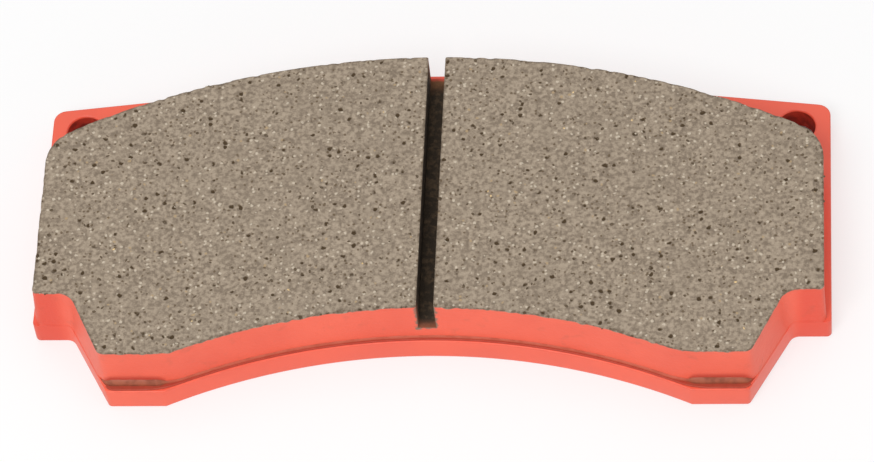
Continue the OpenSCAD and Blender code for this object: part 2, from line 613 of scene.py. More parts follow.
@dataclass
class Shell:
    """Collects the points and faces of one closed piece.

    Attributes:
        places: Points, as rows of x, y and z.
        marks: For each named mark, one number for each point.
        outward: The way out of the wall at each point, or 0 away from walls.
        faces: Point numbers of each face.
        zones: Material index of each face.
        flats: Whether each face is shaded flat.
        count: Number of points so far.
    """

    places: list[np.ndarray] = field(default_factory=list)
    marks: dict[str, list[np.ndarray]] = field(default_factory=lambda: {name: [] for name in MARKS})
    outward: list[np.ndarray] = field(default_factory=list)
    faces: list[tuple[int, ...]] = field(default_factory=list)
    zones: list[int] = field(default_factory=list)
    flats: list[bool] = field(default_factory=list)
    count: int = 0

    def add(
        self,
        points: np.ndarray,
        z: float | np.ndarray,
        outward: np.ndarray | None = None,
        **marks: float | np.ndarray,
    ) -> np.ndarray:
        """Adds points at a height.

        Args:
            points: Rows of x and y.
            z: Their height, or one for each.
            outward: The way out of the wall, as rows of x and y.
            **marks: Values of the marks, for all points or for each, which are 0 where left out.

        Returns:
            The new points' numbers.
        """
        rows = np.column_stack((points, np.broadcast_to(z, len(points))))
        self.places.append(rows)
        ways = np.zeros_like(points) if outward is None else outward
        self.outward.append(np.column_stack((ways, np.zeros(len(points)))))
        for name, values in self.marks.items():
            values.append(np.full(len(rows), marks.get(name, 0.0)))
        numbers = np.arange(self.count, self.count + len(rows))
        self.count += len(rows)
        return numbers

    def skirt(self, low: np.ndarray, high: np.ndarray, zones: Sequence[Zone]) -> None:
        """Joins two rings with a wall that faces away from a counter-clockwise outline.

        Args:
            low: Point numbers of the lower ring.
            high: Point numbers of the upper ring.
            zones: Zone of each face.
        """
        for place, zone in enumerate(zones):
            after = (place + 1) % len(low)
            face = (low[place], low[after], high[after], high[place])
            self.face(face, zone, flat=False)

    def face(self, numbers: Sequence[int], zone: Zone, flat: bool) -> None:
        """Adds one face.

        Args:
            numbers: Its points, counter-clockwise from outside.
            zone: Its zone.
            flat: Whether it is shaded flat.
        """
        self.faces.append(tuple(int(number) for number in numbers))
        self.zones.append(zone.value)
        self.flats.append(flat)

    def cap(
        self, rings: Sequence[np.ndarray], zone: Zone, up: bool, inner: np.ndarray | None = None
    ) -> None:
        """Closes the shell inside an outer ring, round any holes.

        Args:
            rings: Point numbers of the outer ring and of each hole.
            zone: Zone of the faces.
            up: Whether the cap faces up.
            inner: Point numbers inside, which make it a rough cap that is shaded smooth.
        """
        inside_with_holes = 2
        tolerance = 1e-7
        places = np.concatenate(self.places)
        numbers = np.concatenate(rings if inner is None else (*rings, inner))
        flat_points = [Vector(row) for row in places[numbers, :2] / MM]
        starts = np.cumsum([0, *(len(ring) for ring in rings)])
        loops = [list(range(first, last)) for first, last in zip(starts, starts[1:])]
        result = delaunay_2d_cdt(flat_points, [], loops, inside_with_holes, tolerance)
        spots, triangles, origins = result[0], result[2], result[3]
        for corner in triangles:
            first, second, third = (spots[number] for number in corner)
            turns_left = (second - first).cross(third - first) > 0
            ordered = corner if turns_left is up else corner[::-1]
            self.face([numbers[origins[number][0]] for number in ordered], zone, flat=inner is None)

    def made(self, name: str, *finishes: Material) -> Object:
        """Turns the shell into an object.

        Args:
            name: The object's name.
            *finishes: Materials of its zones, unless a tool hands them out.

        Returns:
            The object, in the scene.
        """
        mesh = bpy.data.meshes.new(name)
        mesh.from_pydata(np.concatenate(self.places).tolist(), [], self.faces)
        mesh.polygons.foreach_set("use_smooth", [not flat for flat in self.flats])
        zone = mesh.attributes.new("zone", "INT", "FACE")
        zone.data.foreach_set("value", self.zones)
        for mark, values in self.marks.items():
            layer = mesh.attributes.new(mark, "FLOAT", "POINT")
            layer.data.foreach_set("value", np.concatenate(values).astype(np.float32))
        ways = mesh.attributes.new("outward", "FLOAT_VECTOR", "POINT")
        ways.data.foreach_set("vector", np.concatenate(self.outward).astype(np.float32).ravel())
        for finish in finishes:
            mesh.materials.append(finish)
        if finishes:
            mesh.polygons.foreach_set("material_index", self.zones)
        return linked(name, mesh)


def linked(name: str, data: bpy.types.ID) -> Object:
    """Puts a new object into the scene.

    Args:
        name: Its name.
        data: Its mesh, curve, light or camera.

    Returns:
        The object.
    """
    thing = bpy.data.objects.new(name, data)
    bpy.context.scene.collection.objects.link(thing)
    return thing


def rounding(radius: float, steps: int) -> list[tuple[float, float]]:
    """Pairs of inset and depth along an edge's quarter round, from the wall to the face."""
    angles = [math.pi / 2 * step / steps for step in range(steps + 1)]
    return [(radius * (1 - math.cos(angle)), radius * (1 - math.sin(angle))) for angle in angles]


def faded(values: Sequence[float], reach: int) -> np.ndarray:
    """Smooths values round a closed outline.

    Args:
        values: One value for each point.
        reach: Number of points over which they are smoothed.

    Returns:
        The smoothed values.
    """
    row = np.asarray(values)
    window = np.hanning(2 * reach + 3)[1:-1]
    wrapped = np.concatenate((row[-reach:], row, row[:reach]))
    return np.convolve(wrapped, window / window.sum(), mode="valid")


def wander(count: int, reach: int, seed: int) -> np.ndarray:
    """A smooth random profile, from 0 to 1, round a closed outline."""
    smooth = faded(np.random.default_rng(seed).random(count), reach)
    return (smooth - smooth.min()) / np.ptp(smooth)


def inside(points: np.ndarray, ring: np.ndarray) -> np.ndarray:
    """Tells which points lie inside a ring.

    Args:
        points: Rows of x and y.
        ring: Rows of x and y of a closed outline.

    Returns:
        True for each point inside.
    """
    held = np.zeros(len(points), dtype=bool)
    for start, end in zip(ring, np.roll(ring, -1, axis=0)):
        if start[1] == end[1]:
            continue
        spans = (points[:, 1] < start[1]) != (points[:, 1] < end[1])
        share = (points[:, 1] - start[1]) / (end[1] - start[1])
        held ^= spans & (points[:, 0] < start[0] + share * (end[0] - start[0]))
    return held


def scattered(ring: np.ndarray, spacing: float, seed: int) -> np.ndarray:
    """Fills a ring with a jittered triangular grid.

    Args:
        ring: Rows of x and y of a closed outline.
        spacing: Distance between points.
        seed: Seed of the jitter.

    Returns:
        Rows of x and y.
    """
    jitter = 0.22
    row_height = spacing * math.sqrt(3) / 2
    low, high = ring.min(axis=0), ring.max(axis=0)
    columns = np.arange(low[0], high[0], spacing)
    rows = np.arange(low[1], high[1], row_height)
    grid_x, grid_y = np.meshgrid(columns, rows)
    grid_x[1::2] += spacing / 2
    grid = np.column_stack((grid_x.ravel(), grid_y.ravel()))
    grid += np.random.default_rng(seed).uniform(-jitter, jitter, grid.shape) * spacing
    return grid[inside(grid, ring)]


# Nodes


class Wiring:
    """Adds nodes to one tree and links them."""

    def __init__(self, tree: bpy.types.NodeTree) -> None:
        """Takes the tree that it works on."""
        self.tree = tree

    def node(
        self, kind: str, inputs: dict[str | int, Value] | None = None, **settings: Value
    ) -> bpy.types.Node:
        """Adds a node.

        Args:
            kind: Blender's name of the node's type.
            inputs: Values or sockets for its inputs.
            **settings: Properties of the node.

        Returns:
            The node.
        """
        node = self.tree.nodes.new(kind)
        for name, value in settings.items():
            setattr(node, name, value)
        for key, value in (inputs or {}).items():
            self.feed(node.inputs[key], value)
        return node

    def feed(self, socket: Socket, value: Value) -> None:
        """Links a socket, or sets it if the value is plain.

        Args:
            socket: An input of a node.
            value: What it takes.
        """
        if isinstance(value, Socket):
            self.tree.links.new(value, socket)
        else:
            socket.default_value = value

    def math(self, operation: str, first: Value, second: Value = 0.0) -> Socket:
        """Adds a sum of two numbers."""
        return self.node("ShaderNodeMath", {0: first, 1: second}, operation=operation).outputs[0]

    def vector(self, operation: str, first: Value, second: Value) -> Socket:
        """Adds a sum of two vectors."""
        return self.node("ShaderNodeVectorMath", {0: first, 1: second}, operation=operation).outputs[0]

    def scaled(self, vector: Value, scale: Value) -> Socket:
        """Adds a vector times a number."""
        inputs = {"Vector": vector, "Scale": scale}
        return self.node("ShaderNodeVectorMath", inputs, operation="SCALE").outputs[0]

    def split(self, vector: Value) -> bpy.types.NodeOutputs:
        """Splits a vector into its three numbers."""
        return self.node("ShaderNodeSeparateXYZ", {0: vector}).outputs

    def noise(self, vector: Value, scale: Value, detail: float = 2.0) -> bpy.types.Node:
        """Adds a noise texture."""
        return self.node("ShaderNodeTexNoise", {"Vector": vector, "Scale": scale, "Detail": detail})

    def ramp(self, value: Value, low: Value, high: Value, start: Value = 0.0, end: Value = 1.0) -> Socket:
        """Adds a smooth step from one result to another, between two limits of a number."""
        inputs = {0: value, 1: low, 2: high, 3: start, 4: end}
        return self.node("ShaderNodeMapRange", inputs, interpolation_type="SMOOTHSTEP").outputs[0]

    def blend(self, share: Value, first: Value, second: Value) -> Socket:
        """Adds a mix of two colours."""
        inputs = {0: share, 6: first, 7: second}
        return self.node("ShaderNodeMix", inputs, data_type="RGBA").outputs[2]

    def between(self, share: Value, start: Value, end: Value) -> Socket:
        """Adds a number that goes from one value to another as a share goes from 0 to 1."""
        return self.ramp(share, 0.0, 1.0, start, end)

    def combined(self, x: Value = 0.0, y: Value = 0.0, z: Value = 0.0) -> Socket:
        """Joins three numbers into a vector."""
        return self.node("ShaderNodeCombineXYZ", {0: x, 1: y, 2: z}).outputs[0]

    def negative(self, value: Value) -> Socket:
        """Turns a number's sign round."""
        return self.math("MULTIPLY", value, -1.0)


# Shared effects


@dataclass(frozen=True)
class SpeckFamily:
    """One family of specks in the compound.

    Attributes:
        spacing: Distance between the places where a speck may be.
        radius: Radius of the largest speck.
        share: Share of those places that hold one.
        colour: The specks' colour.
    """

    spacing: float
    radius: float
    share: float
    colour: Colour

    @property
    def scale(self) -> float:
        """Number of places on one metre."""
        return 1.0 / self.spacing

    @property
    def reach(self) -> float:
        """Radius as a share of the spacing."""
        return self.radius / self.spacing


@dataclass(frozen=True)
class Patches:
    """Soft cloudy patches.

    Attributes:
        scale: Patches on one metre.
        low: Noise at which they start to show.
        high: Noise at which they show in full.
    """

    scale: float
    low: float
    high: float


@dataclass(frozen=True)
class Relief:
    """A surface with a coarse and a fine grain.

    Attributes:
        scale: Coarse grains on one metre.
        finer: How many times finer the fine grain is.
        share: Height of the fine grain, as a share of the coarse one's.
        depth: Depth of the coarse grain.
        strength: How strongly it shows.
    """

    scale: float
    finer: float
    share: float
    depth: float
    strength: float = 1.0


def speck_field(wiring: Wiring, vector: Value, scale: Value, reach: Value, share: Value) -> Socket:
    """Adds ragged specks, in a material and in a mesh alike.

    Args:
        wiring: The tree to add them to.
        vector: Coordinates.
        scale: Number of places on one metre.
        reach: Radius as a share of the spacing.
        share: Share of places that hold a speck.

    Returns:
        The specks' mask.
    """
    twist_scale = 1.9
    warp_share = 0.45
    core = 0.55
    twist = wiring.noise(vector, wiring.math("MULTIPLY", scale, twist_scale), detail=1.0)
    centred = wiring.vector("SUBTRACT", twist.outputs["Color"], (NOISE_MIDDLE, NOISE_MIDDLE, NOISE_MIDDLE))
    warp = wiring.scaled(centred, wiring.math("DIVIDE", warp_share, scale))
    moved = wiring.vector("ADD", vector, warp)
    cells = wiring.node("ShaderNodeTexVoronoi", {"Vector": moved, "Scale": scale})
    chance = wiring.split(cells.outputs["Color"])[0]
    held = wiring.math("LESS_THAN", chance, share)
    inner = wiring.math("MULTIPLY", reach, core)
    disc = wiring.ramp(cells.outputs["Distance"], inner, reach, 1.0, 0.0)
    return wiring.math("MULTIPLY", disc, held)


def mottle(wiring: Wiring, vector: Value, scale: Value, low: Value, high: Value) -> Socket:
    """Adds soft patches, from 0 to 1, where noise lies between two limits."""
    return wiring.ramp(wiring.noise(vector, scale, detail=3.0).outputs["Fac"], low, high)


def tooth(wiring: Wiring, vector: Value, coarse: Value, fine: Value, share: Value) -> Socket:
    """Adds the height of a coarse grain and a share of a fine one, by their scales."""
    broad, sharp = (wiring.noise(vector, scale).outputs["Fac"] for scale in (coarse, fine))
    return wiring.math("ADD", broad, wiring.math("MULTIPLY", sharp, share))


def ragged_line(
    wiring: Wiring, vector: Value, place: Value, limit: Value, depth: Value, softness: Value, scale: Value
) -> Socket:
    """Adds a mask with a ragged border.

    Args:
        wiring: The tree to add it to.
        vector: Coordinates.
        place: Coordinate that runs across the border.
        limit: Where the border is.
        depth: How far it wanders.
        softness: Half of the width over which it fades.
        scale: Waves on one metre.

    Returns:
        1 past the limit and 0 before it.
    """
    noise = wiring.noise(vector, scale, detail=3.0).outputs["Fac"]
    shift = wiring.math("MULTIPLY", wiring.math("SUBTRACT", noise, NOISE_MIDDLE), depth)
    past = wiring.math("SUBTRACT", wiring.math("ADD", place, shift), limit)
    return wiring.ramp(past, wiring.negative(softness), softness)


class Effect(Enum):
    """The effects that several finishes share: name, maker, number inputs and output."""

    SPECKS = ("Specks", speck_field, ("Scale", "Reach", "Share"), "Mask")
    MOTTLE = ("Mottle", mottle, ("Scale", "Low", "High"), "Value")
    TOOTH = ("Tooth", tooth, ("Coarse scale", "Fine scale", "Fine share"), "Height")
    RAGGED_LINE = ("Ragged line", ragged_line, ("Place", "Limit", "Depth", "Softness", "Scale"), "Mask")


class EffectShelf:
    """Builds the shared effects, each once, as shader node groups."""

    def __init__(self) -> None:
        """Starts with no group built."""
        self.trees: dict[Effect, bpy.types.NodeTree] = {}

    def placed(self, wiring: Wiring, effect: Effect, **inputs: Value) -> Socket:
        """Places an effect in a material.

        Args:
            wiring: The material's tree.
            effect: Which effect.
            **inputs: Its inputs, with _ for a space.

        Returns:
            The effect's output.
        """
        if effect not in self.trees:
            self.trees[effect] = self.built(*effect.value)
        node = wiring.node("ShaderNodeGroup", node_tree=self.trees[effect])
        for name, value in inputs.items():
            wiring.feed(node.inputs[name.replace("_", " ").capitalize()], value)
        return node.outputs[0]

    @staticmethod
    def built(
        name: str, maker: Callable[..., Socket], numbers: Sequence[str], output: str
    ) -> bpy.types.NodeTree:
        """Builds an effect, whose first input is a vector.

        Args:
            name: The group's name.
            maker: Function that adds the effect's nodes.
            numbers: Names of the other inputs.
            output: Name of the output.

        Returns:
            The node group.
        """
        tree = bpy.data.node_groups.new(name, "ShaderNodeTree")
        tree.interface.new_socket(name="Vector", in_out="INPUT", socket_type="NodeSocketVector")
        for number in numbers:
            tree.interface.new_socket(name=number, in_out="INPUT", socket_type="NodeSocketFloat")
        tree.interface.new_socket(name=output, in_out="OUTPUT", socket_type="NodeSocketFloat")
        wiring = Wiring(tree)
        given = wiring.node("NodeGroupInput").outputs
        made = maker(wiring, given["Vector"], *(given[number] for number in numbers))
        wiring.node("NodeGroupOutput", {output: made})
        return tree


EFFECTS = EffectShelf()


# Finishes


@dataclass(frozen=True)
class Canvas:
    """A new material, ready to be wired.

    Attributes:
        material: The material.
        wiring: Its tree.
        shader: Its shader.
        place: Coordinates on the piece.
    """

    material: Material
    wiring: Wiring
    shader: bpy.types.Node
    place: Socket

    @classmethod
    def opened(cls, name: str, specular: float) -> "Canvas":
        """Starts a material.

        Args:
            name: The material's name.
            specular: Strength of its reflections.

        Returns:
            The canvas.
        """
        material = bpy.data.materials.new(name)
        material.use_nodes = True
        material.node_tree.nodes.clear()
        wiring = Wiring(material.node_tree)
        shader = wiring.node("ShaderNodeBsdfPrincipled", {"Specular IOR Level": specular})
        wiring.node("ShaderNodeOutputMaterial", {"Surface": shader.outputs["BSDF"]})
        place = wiring.node("ShaderNodeTexCoord").outputs["Object"]
        return cls(material, wiring, shader, place)

    def effect(self, effect: Effect, **inputs: Value) -> Socket:
        """Places a shared effect."""
        return EFFECTS.placed(self.wiring, effect, vector=self.place, **inputs)

    def mark(self, name: str) -> Socket:
        """Reads one of the mesh's marks."""
        return self.wiring.node("ShaderNodeAttribute", attribute_name=name).outputs["Fac"]

    def specks(self, family: SpeckFamily) -> Socket:
        """The mask of one family of specks."""
        return self.effect(Effect.SPECKS, scale=family.scale, reach=family.reach, share=family.share)

    def patches(self, patches: Patches) -> Socket:
        """The mask of soft patches."""
        return self.effect(Effect.MOTTLE, scale=patches.scale, low=patches.low, high=patches.high)

    def past(self, place: Value, limit: float, depth: float, softness: float, scale: float) -> Socket:
        """The mask of what lies past a ragged line, which takes the inputs of that effect."""
        inputs = {"place": place, "limit": limit, "depth": depth, "softness": softness, "scale": scale}
        return self.effect(Effect.RAGGED_LINE, **inputs)

    def bump(self, relief: Relief) -> Socket:
        """The normals of a grainy surface.

        Args:
            relief: The surface.

        Returns:
            The normals.
        """
        coarse, fine = relief.scale, relief.scale * relief.finer
        height = self.effect(Effect.TOOTH, coarse_scale=coarse, fine_scale=fine, fine_share=relief.share)
        inputs = {"Strength": relief.strength, "Distance": relief.depth, "Height": height}
        return self.wiring.node("ShaderNodeBump", inputs).outputs["Normal"]

    def finished(self, **inputs: Value) -> Material:
        """Feeds the shader.

        Args:
            **inputs: The shader's inputs, with _ for a space.

        Returns:
            The material.
        """
        for name, value in inputs.items():
            self.wiring.feed(self.shader.inputs[name.replace("_", " ").title()], value)
        return self.material


@dataclass(frozen=True)
class PaintFinish:
    """Satin red-orange paint on the steel, a little thinner along the edges, with painted shade under the
    ears.

    Attributes:
        bright: Colour of a full coat.
        deep: Colour of its darker clouds.
        pooled: Colour of the painted shade under the ears.
        thin: Colour along the edges.
        thin_share: How much of that colour shows.
        clouds: Where the coat is bright.
        fret: Where the edges are thin.
        peel: The orange peel.
        smooth: Roughness of the smoothest patches.
        dull: Roughness of the dullest patches.
    """

    bright: Colour = (0.92, 0.142, 0.078, 1.0)
    deep: Colour = (0.86, 0.120, 0.065, 1.0)
    pooled: Colour = (0.81, 0.094, 0.050, 1.0)
    thin: Colour = (0.60, 0.078, 0.045, 1.0)
    thin_share: float = 0.35
    clouds: Patches = Patches(70.0, 0.3, 0.7)
    fret: Patches = Patches(425.0, 0.35, 0.65)
    peel: Relief = Relief(850.0, 4.0, 0.25, 0.00003, 0.7)
    smooth: float = 0.36
    dull: float = 0.47

    def colour(self, canvas: Canvas, cloud: Value) -> Socket:
        """The colour of the coat, by its clouds, with painted shade under the ears."""
        coat = canvas.wiring.blend(cloud, self.deep, self.bright)
        # Painted shade under the ears, by the mark set there.
        return canvas.wiring.blend(canvas.mark("pool"), coat, self.pooled)

    def material(self) -> Material:
        """Wires the paint of the backing plate.

        Returns:
            The material.
        """
        canvas = Canvas.opened("painted_steel", specular=0.5)
        wiring = canvas.wiring
        cloud = canvas.patches(self.clouds)
        fretted = wiring.math("MULTIPLY", canvas.mark("edge"), canvas.patches(self.fret))
        worn = wiring.math("MULTIPLY", fretted, self.thin_share)
        return canvas.finished(
            base_color=wiring.blend(worn, self.colour(canvas, cloud), self.thin),
            roughness=wiring.between(cloud, self.smooth, self.dull),
            normal=canvas.bump(self.peel),
        )


@dataclass(frozen=True)
class LiningPaintFinish:
    """The same paint over the lining's grainy walls, chipped where the face was ground and the slot cut.

    Attributes:
        face: Height of the friction face.
        slot_half: Half of the slot's width.
        slot_floor: Height of the slot's floor.
        coat: The paint.
        root: Colour of the painted shade at the root of the wall, just above the bead.
        chip_depth: How far the chips reach from the ground face.
        slot_chip_depth: How far they reach from the slot.
        chip_scale: Chips on one metre.
        bare: Colour of the compound in a chip.
        bare_roughness: Roughness of the compound in a chip.
        lean: Colour where the compound shows through the paint.
        lean_share: How much of that colour shows.
        lean_patches: Where it shows.
        grain: The grain of the walls.
        roughness: Roughness of the paint.
    """

    face: float
    slot_half: float
    slot_floor: float
    coat: PaintFinish = PaintFinish()
    root: Colour = (0.55, 0.052, 0.026, 1.0)
    chip_depth: float = 0.0006
    slot_chip_depth: float = 0.001
    chip_scale: float = 700.0
    bare: Colour = (0.24, 0.18, 0.13, 1.0)
    bare_roughness: float = 0.9
    lean: Colour = (0.42, 0.095, 0.05, 1.0)
    lean_share: float = 0.22
    lean_patches: Patches = Patches(330.0, 0.56, 0.78)
    grain: Relief = Relief(1500.0, 3.0, 0.4, 0.00009, 0.8)
    roughness: float = 0.5

    def material(self) -> Material:
        """Wires the paint of the lining's walls.

        Returns:
            The material.
        """
        canvas = Canvas.opened("painted_lining", specular=0.5)
        wiring = canvas.wiring
        coat = self.coat.colour(canvas, canvas.patches(self.coat.clouds))
        thin = wiring.math("MULTIPLY", canvas.patches(self.lean_patches), self.lean_share)
        # The edge mark lays painted shade at the root of the wall, just above the bead.
        root_shaded = wiring.blend(canvas.mark("edge"), wiring.blend(thin, coat, self.lean), self.root)
        across, _, up = wiring.split(canvas.place)
        inward = wiring.negative(wiring.math("ABSOLUTE", across))
        ground = self.chipped(canvas, up, self.face, self.chip_depth)
        beside_slot = self.chipped(canvas, inward, -self.slot_half, self.slot_chip_depth)
        above_floor = self.chipped(canvas, up, self.slot_floor, self.slot_chip_depth)
        chip = wiring.math("MAXIMUM", ground, wiring.math("MULTIPLY", beside_slot, above_floor))
        return canvas.finished(
            base_color=wiring.blend(chip, root_shaded, self.bare),
            roughness=wiring.between(chip, self.roughness, self.bare_roughness),
            normal=canvas.bump(self.grain),
        )

    def chipped(self, canvas: Canvas, place: Value, edge: float, depth: float) -> Socket:
        """The mask of chips that reach a depth from an edge, along a coordinate that grows towards it."""
        return canvas.past(place, edge - depth / 3, depth * 2, depth / 3, self.chip_scale)


@dataclass(frozen=True)
class CompoundFinish:
    """The ground friction compound: a grey-brown matrix full of specks and pits.

    Attributes:
        matrix: Main colour.
        shade: Colour of its darker grain.
        grain: Where the matrix has its main colour.
        cloud: Colour of its broad darker clouds.
        cloud_share: How much of that colour shows.
        clouds: Where the clouds are.
        pits: Open pits and large dark grains.
        soot: Fine dark grains.
        chalk: Pale mineral grains.
        ochre: Tan grains.
        speck_share: How strongly the finer grains show.
        rim: Colour of the broken rim.
        rim_share: How much of that colour shows.
        tooth: The ground surface.
        roughness: Roughness of the surface.
    """

    matrix: Colour = (0.435, 0.350, 0.262, 1.0)
    shade: Colour = (0.222, 0.172, 0.124, 1.0)
    grain: Patches = Patches(1500.0, 0.3, 0.7)
    cloud: Colour = (0.30, 0.238, 0.175, 1.0)
    cloud_share: float = 0.35
    clouds: Patches = Patches(160.0, 0.45, 0.75)
    pits: SpeckFamily = SpeckFamily(0.0018, 0.00056, 0.34, (0.068, 0.042, 0.019, 1.0))
    soot: SpeckFamily = SpeckFamily(0.00095, 0.00033, 0.40, (0.125, 0.084, 0.046, 1.0))
    chalk: SpeckFamily = SpeckFamily(0.00105, 0.00035, 0.30, (0.63, 0.54, 0.42, 1.0))
    ochre: SpeckFamily = SpeckFamily(0.0016, 0.00034, 0.16, (0.46, 0.33, 0.19, 1.0))
    speck_share: float = 0.85
    rim: Colour = (0.10, 0.066, 0.040, 1.0)
    rim_share: float = 0.55
    tooth: Relief = Relief(1500.0, 3.0, 0.5, 0.00005, 0.8)
    roughness: float = 0.88

    def material(self) -> Material:
        """Wires the friction face.

        Returns:
            The material.
        """
        canvas = Canvas.opened("ground_compound", specular=0.35)
        wiring = canvas.wiring
        grain = canvas.patches(self.grain)
        clouded = wiring.math("MULTIPLY", canvas.patches(self.clouds), self.cloud_share)
        colour = wiring.blend(clouded, wiring.blend(grain, self.shade, self.matrix), self.cloud)
        for family in (self.ochre, self.soot, self.chalk):
            strength = wiring.math("MULTIPLY", canvas.specks(family), self.speck_share)
            colour = wiring.blend(strength, colour, family.colour)
        colour = wiring.blend(canvas.specks(self.pits), colour, self.pits.colour)
        share = wiring.between(grain, self.rim_share, self.rim_share / 2)
        broken = wiring.math("MULTIPLY", canvas.mark("edge"), share)
        return canvas.finished(
            base_color=wiring.blend(broken, colour, self.rim),
            roughness=self.roughness,
            normal=canvas.bump(self.tooth),
        )


@dataclass(frozen=True)
class SlotFinish:
    """The compound inside the slot, coloured dark as painted shade and lifted by painted light at its near
    end, with dust on it and paint that drifted in at its ends.

    Attributes:
        near_y: Where the slot meets the arch.
        far_y: Where the slot meets the top.
        painted_shade: Main colour, dark as painted shade inside the slot.
        dust: Colour of the dust on it.
        patches: Where the dust lies.
        pale: Colour at the far end.
        pale_reach: How far the paler end reaches in.
        paint: Colour of the paint that drifted in there.
        paint_reach: How far it reaches in.
        lit_mouth: Painted light at the near end, where the slot opens onto the arch.
        lit_mouth_reach: How far that reaches in.
        grain: The grain that the cutter left.
        roughness: Roughness of the walls.
    """

    near_y: float
    far_y: float
    painted_shade: Colour = (0.050, 0.036, 0.024, 1.0)
    dust: Colour = (0.12, 0.080, 0.048, 1.0)
    patches: Patches = Patches(900.0, 0.42, 0.7)
    pale: Colour = (0.22, 0.10, 0.045, 1.0)
    pale_reach: float = 0.0045
    paint: Colour = (0.74, 0.105, 0.075, 1.0)
    paint_reach: float = 0.0009
    lit_mouth: Colour = (0.34, 0.115, 0.062, 1.0)
    lit_mouth_reach: float = 0.0024
    grain: Relief = Relief(1800.0, 2.5, 0.4, 0.00008)
    roughness: float = 0.92

    def material(self) -> Material:
        """Wires the slot's walls and floor.

        Returns:
            The material.
        """
        canvas = Canvas.opened("painted_shade_slot", specular=0.3)
        wiring = canvas.wiring
        # The slot's dark main colour is painted shade.
        colour = wiring.blend(canvas.patches(self.patches), self.painted_shade, self.dust)
        along = wiring.split(canvas.place)["Y"]
        ends = (
            (along, self.far_y, self.pale_reach, self.pale),
            (along, self.far_y, self.paint_reach, self.paint),
            # Painted light at the near end, where the slot opens.
            (wiring.negative(along), -self.near_y, self.lit_mouth_reach, self.lit_mouth),
        )
        for place, end, reach, tint in ends:
            half = reach / 2
            drifted = canvas.past(place, end - half, half, half, self.patches.scale)
            colour = wiring.blend(drifted, colour, tint)
        return canvas.finished(
            base_color=colour,
            roughness=self.roughness,
            normal=canvas.bump(self.grain),
        )


@dataclass(frozen=True)
class AdhesiveFinish:
    """Cured brown adhesive, barest along each foot and dusted with paint elsewhere, whose colour is toned as
    painted shade on the film and as painted light on the bead.

    Attributes:
        name: The material's name.
        foot_x: Place of the middle of each foot.
        bare_dust: How much paint lies on it along the feet.
        dust: How much paint lies on it elsewhere.
        light_toned_dust: Colour of the paint on it, darkened as painted shade on the film and lighter as
            painted light on the bead.
        bare_half: Half of the bare length.
        resin: Main colour.
        char: Colour of its dark blotches.
        blotches: Where the blotches are.
        grain: The grain of the cured surface.
        smooth: Roughness of the main colour.
        dull: Roughness of the blotches.
    """

    name: str
    foot_x: float
    bare_dust: float
    dust: float
    light_toned_dust: Colour
    bare_half: float = 0.0062
    resin: Colour = (0.34, 0.090, 0.040, 1.0)
    char: Colour = (0.20, 0.054, 0.025, 1.0)
    blotches: Patches = Patches(520.0, 0.35, 0.68)
    grain: Relief = Relief(1040.0, 3.5, 0.3, 0.00007)
    smooth: float = 0.5
    dull: float = 0.72

    def material(self) -> Material:
        """Wires the adhesive.

        Returns:
            The material.
        """
        canvas = Canvas.opened(self.name, specular=0.45)
        wiring = canvas.wiring
        blotch = canvas.patches(self.blotches)
        across = wiring.math("ABSOLUTE", wiring.split(canvas.place)["X"])
        from_foot = wiring.math("ABSOLUTE", wiring.math("SUBTRACT", across, self.foot_x))
        half = self.bare_half
        drifted = canvas.past(from_foot, half, half / 2, half / 4, self.blotches.scale)
        cover = wiring.between(drifted, self.bare_dust, self.dust)
        return canvas.finished(
            base_color=wiring.blend(cover, wiring.blend(blotch, self.resin, self.char), self.light_toned_dust),
            roughness=wiring.between(blotch, self.smooth, self.dull),
            normal=canvas.bump(self.grain),
        )


@dataclass(frozen=True)
class BoreFinish:
    """The paint inside the pin holes, darker than the plate's as painted shade.

    Attributes:
        coat: Main colour, dark as painted shade.
        worn: Colour of its darker random patches.
        patches: Where they are.
        roughness: Roughness of the coat.
    """

    coat: Colour = (0.50, 0.052, 0.027, 1.0)
    worn: Colour = (0.24, 0.029, 0.017, 1.0)
    patches: Patches = Patches(420.0, 0.4, 0.7)
    roughness: float = 0.7

    def material(self) -> Material:
        """Wires the holes' walls.

        Returns:
            The material.
        """
        canvas = Canvas.opened("shaded_bore", specular=0.2)
        # Painted shade inside the holes.
        colour = canvas.wiring.blend(canvas.patches(self.patches), self.coat, self.worn)
        return canvas.finished(base_color=colour, roughness=self.roughness)


class GrainKind(Enum):
    """The loose grains that stand in the friction face."""

    MINERAL = "Mineral"
    GRAPHITE = "Graphite"
    BRASS = "Brass"


@dataclass(frozen=True)
class GrainFinish:
    """One kind of grain.

    Attributes:
        kind: Which kind.
        number: Grains on one square metre.
        size: Half of the length of the largest.
        main: Main colour.
        other: Colour of its other patches.
        metallic: Whether it is metal.
        roughness: Roughness of the main colour.
        wear: What the other patches add to it.
        patches: Where they are.
        tooth: The grain's surface.
    """

    kind: GrainKind
    number: float
    size: float
    main: Colour
    other: Colour
    metallic: float = 0.0
    roughness: float = 0.7
    wear: float = 0.15
    patches: Patches = Patches(2600.0, 0.35, 0.65)
    tooth: Relief = Relief(2600.0, 3.0, 0.4, 0.00003)

    def material(self) -> Material:
        """Wires the grain.

        Returns:
            The material.
        """
        canvas = Canvas.opened(f"{self.kind.value.lower()}_grain", specular=0.5)
        patch = canvas.patches(self.patches)
        return canvas.finished(
            base_color=canvas.wiring.blend(patch, self.main, self.other),
            metallic=self.metallic,
            roughness=canvas.wiring.between(patch, self.roughness, self.roughness + self.wear),
            normal=canvas.bump(self.tooth),
        )


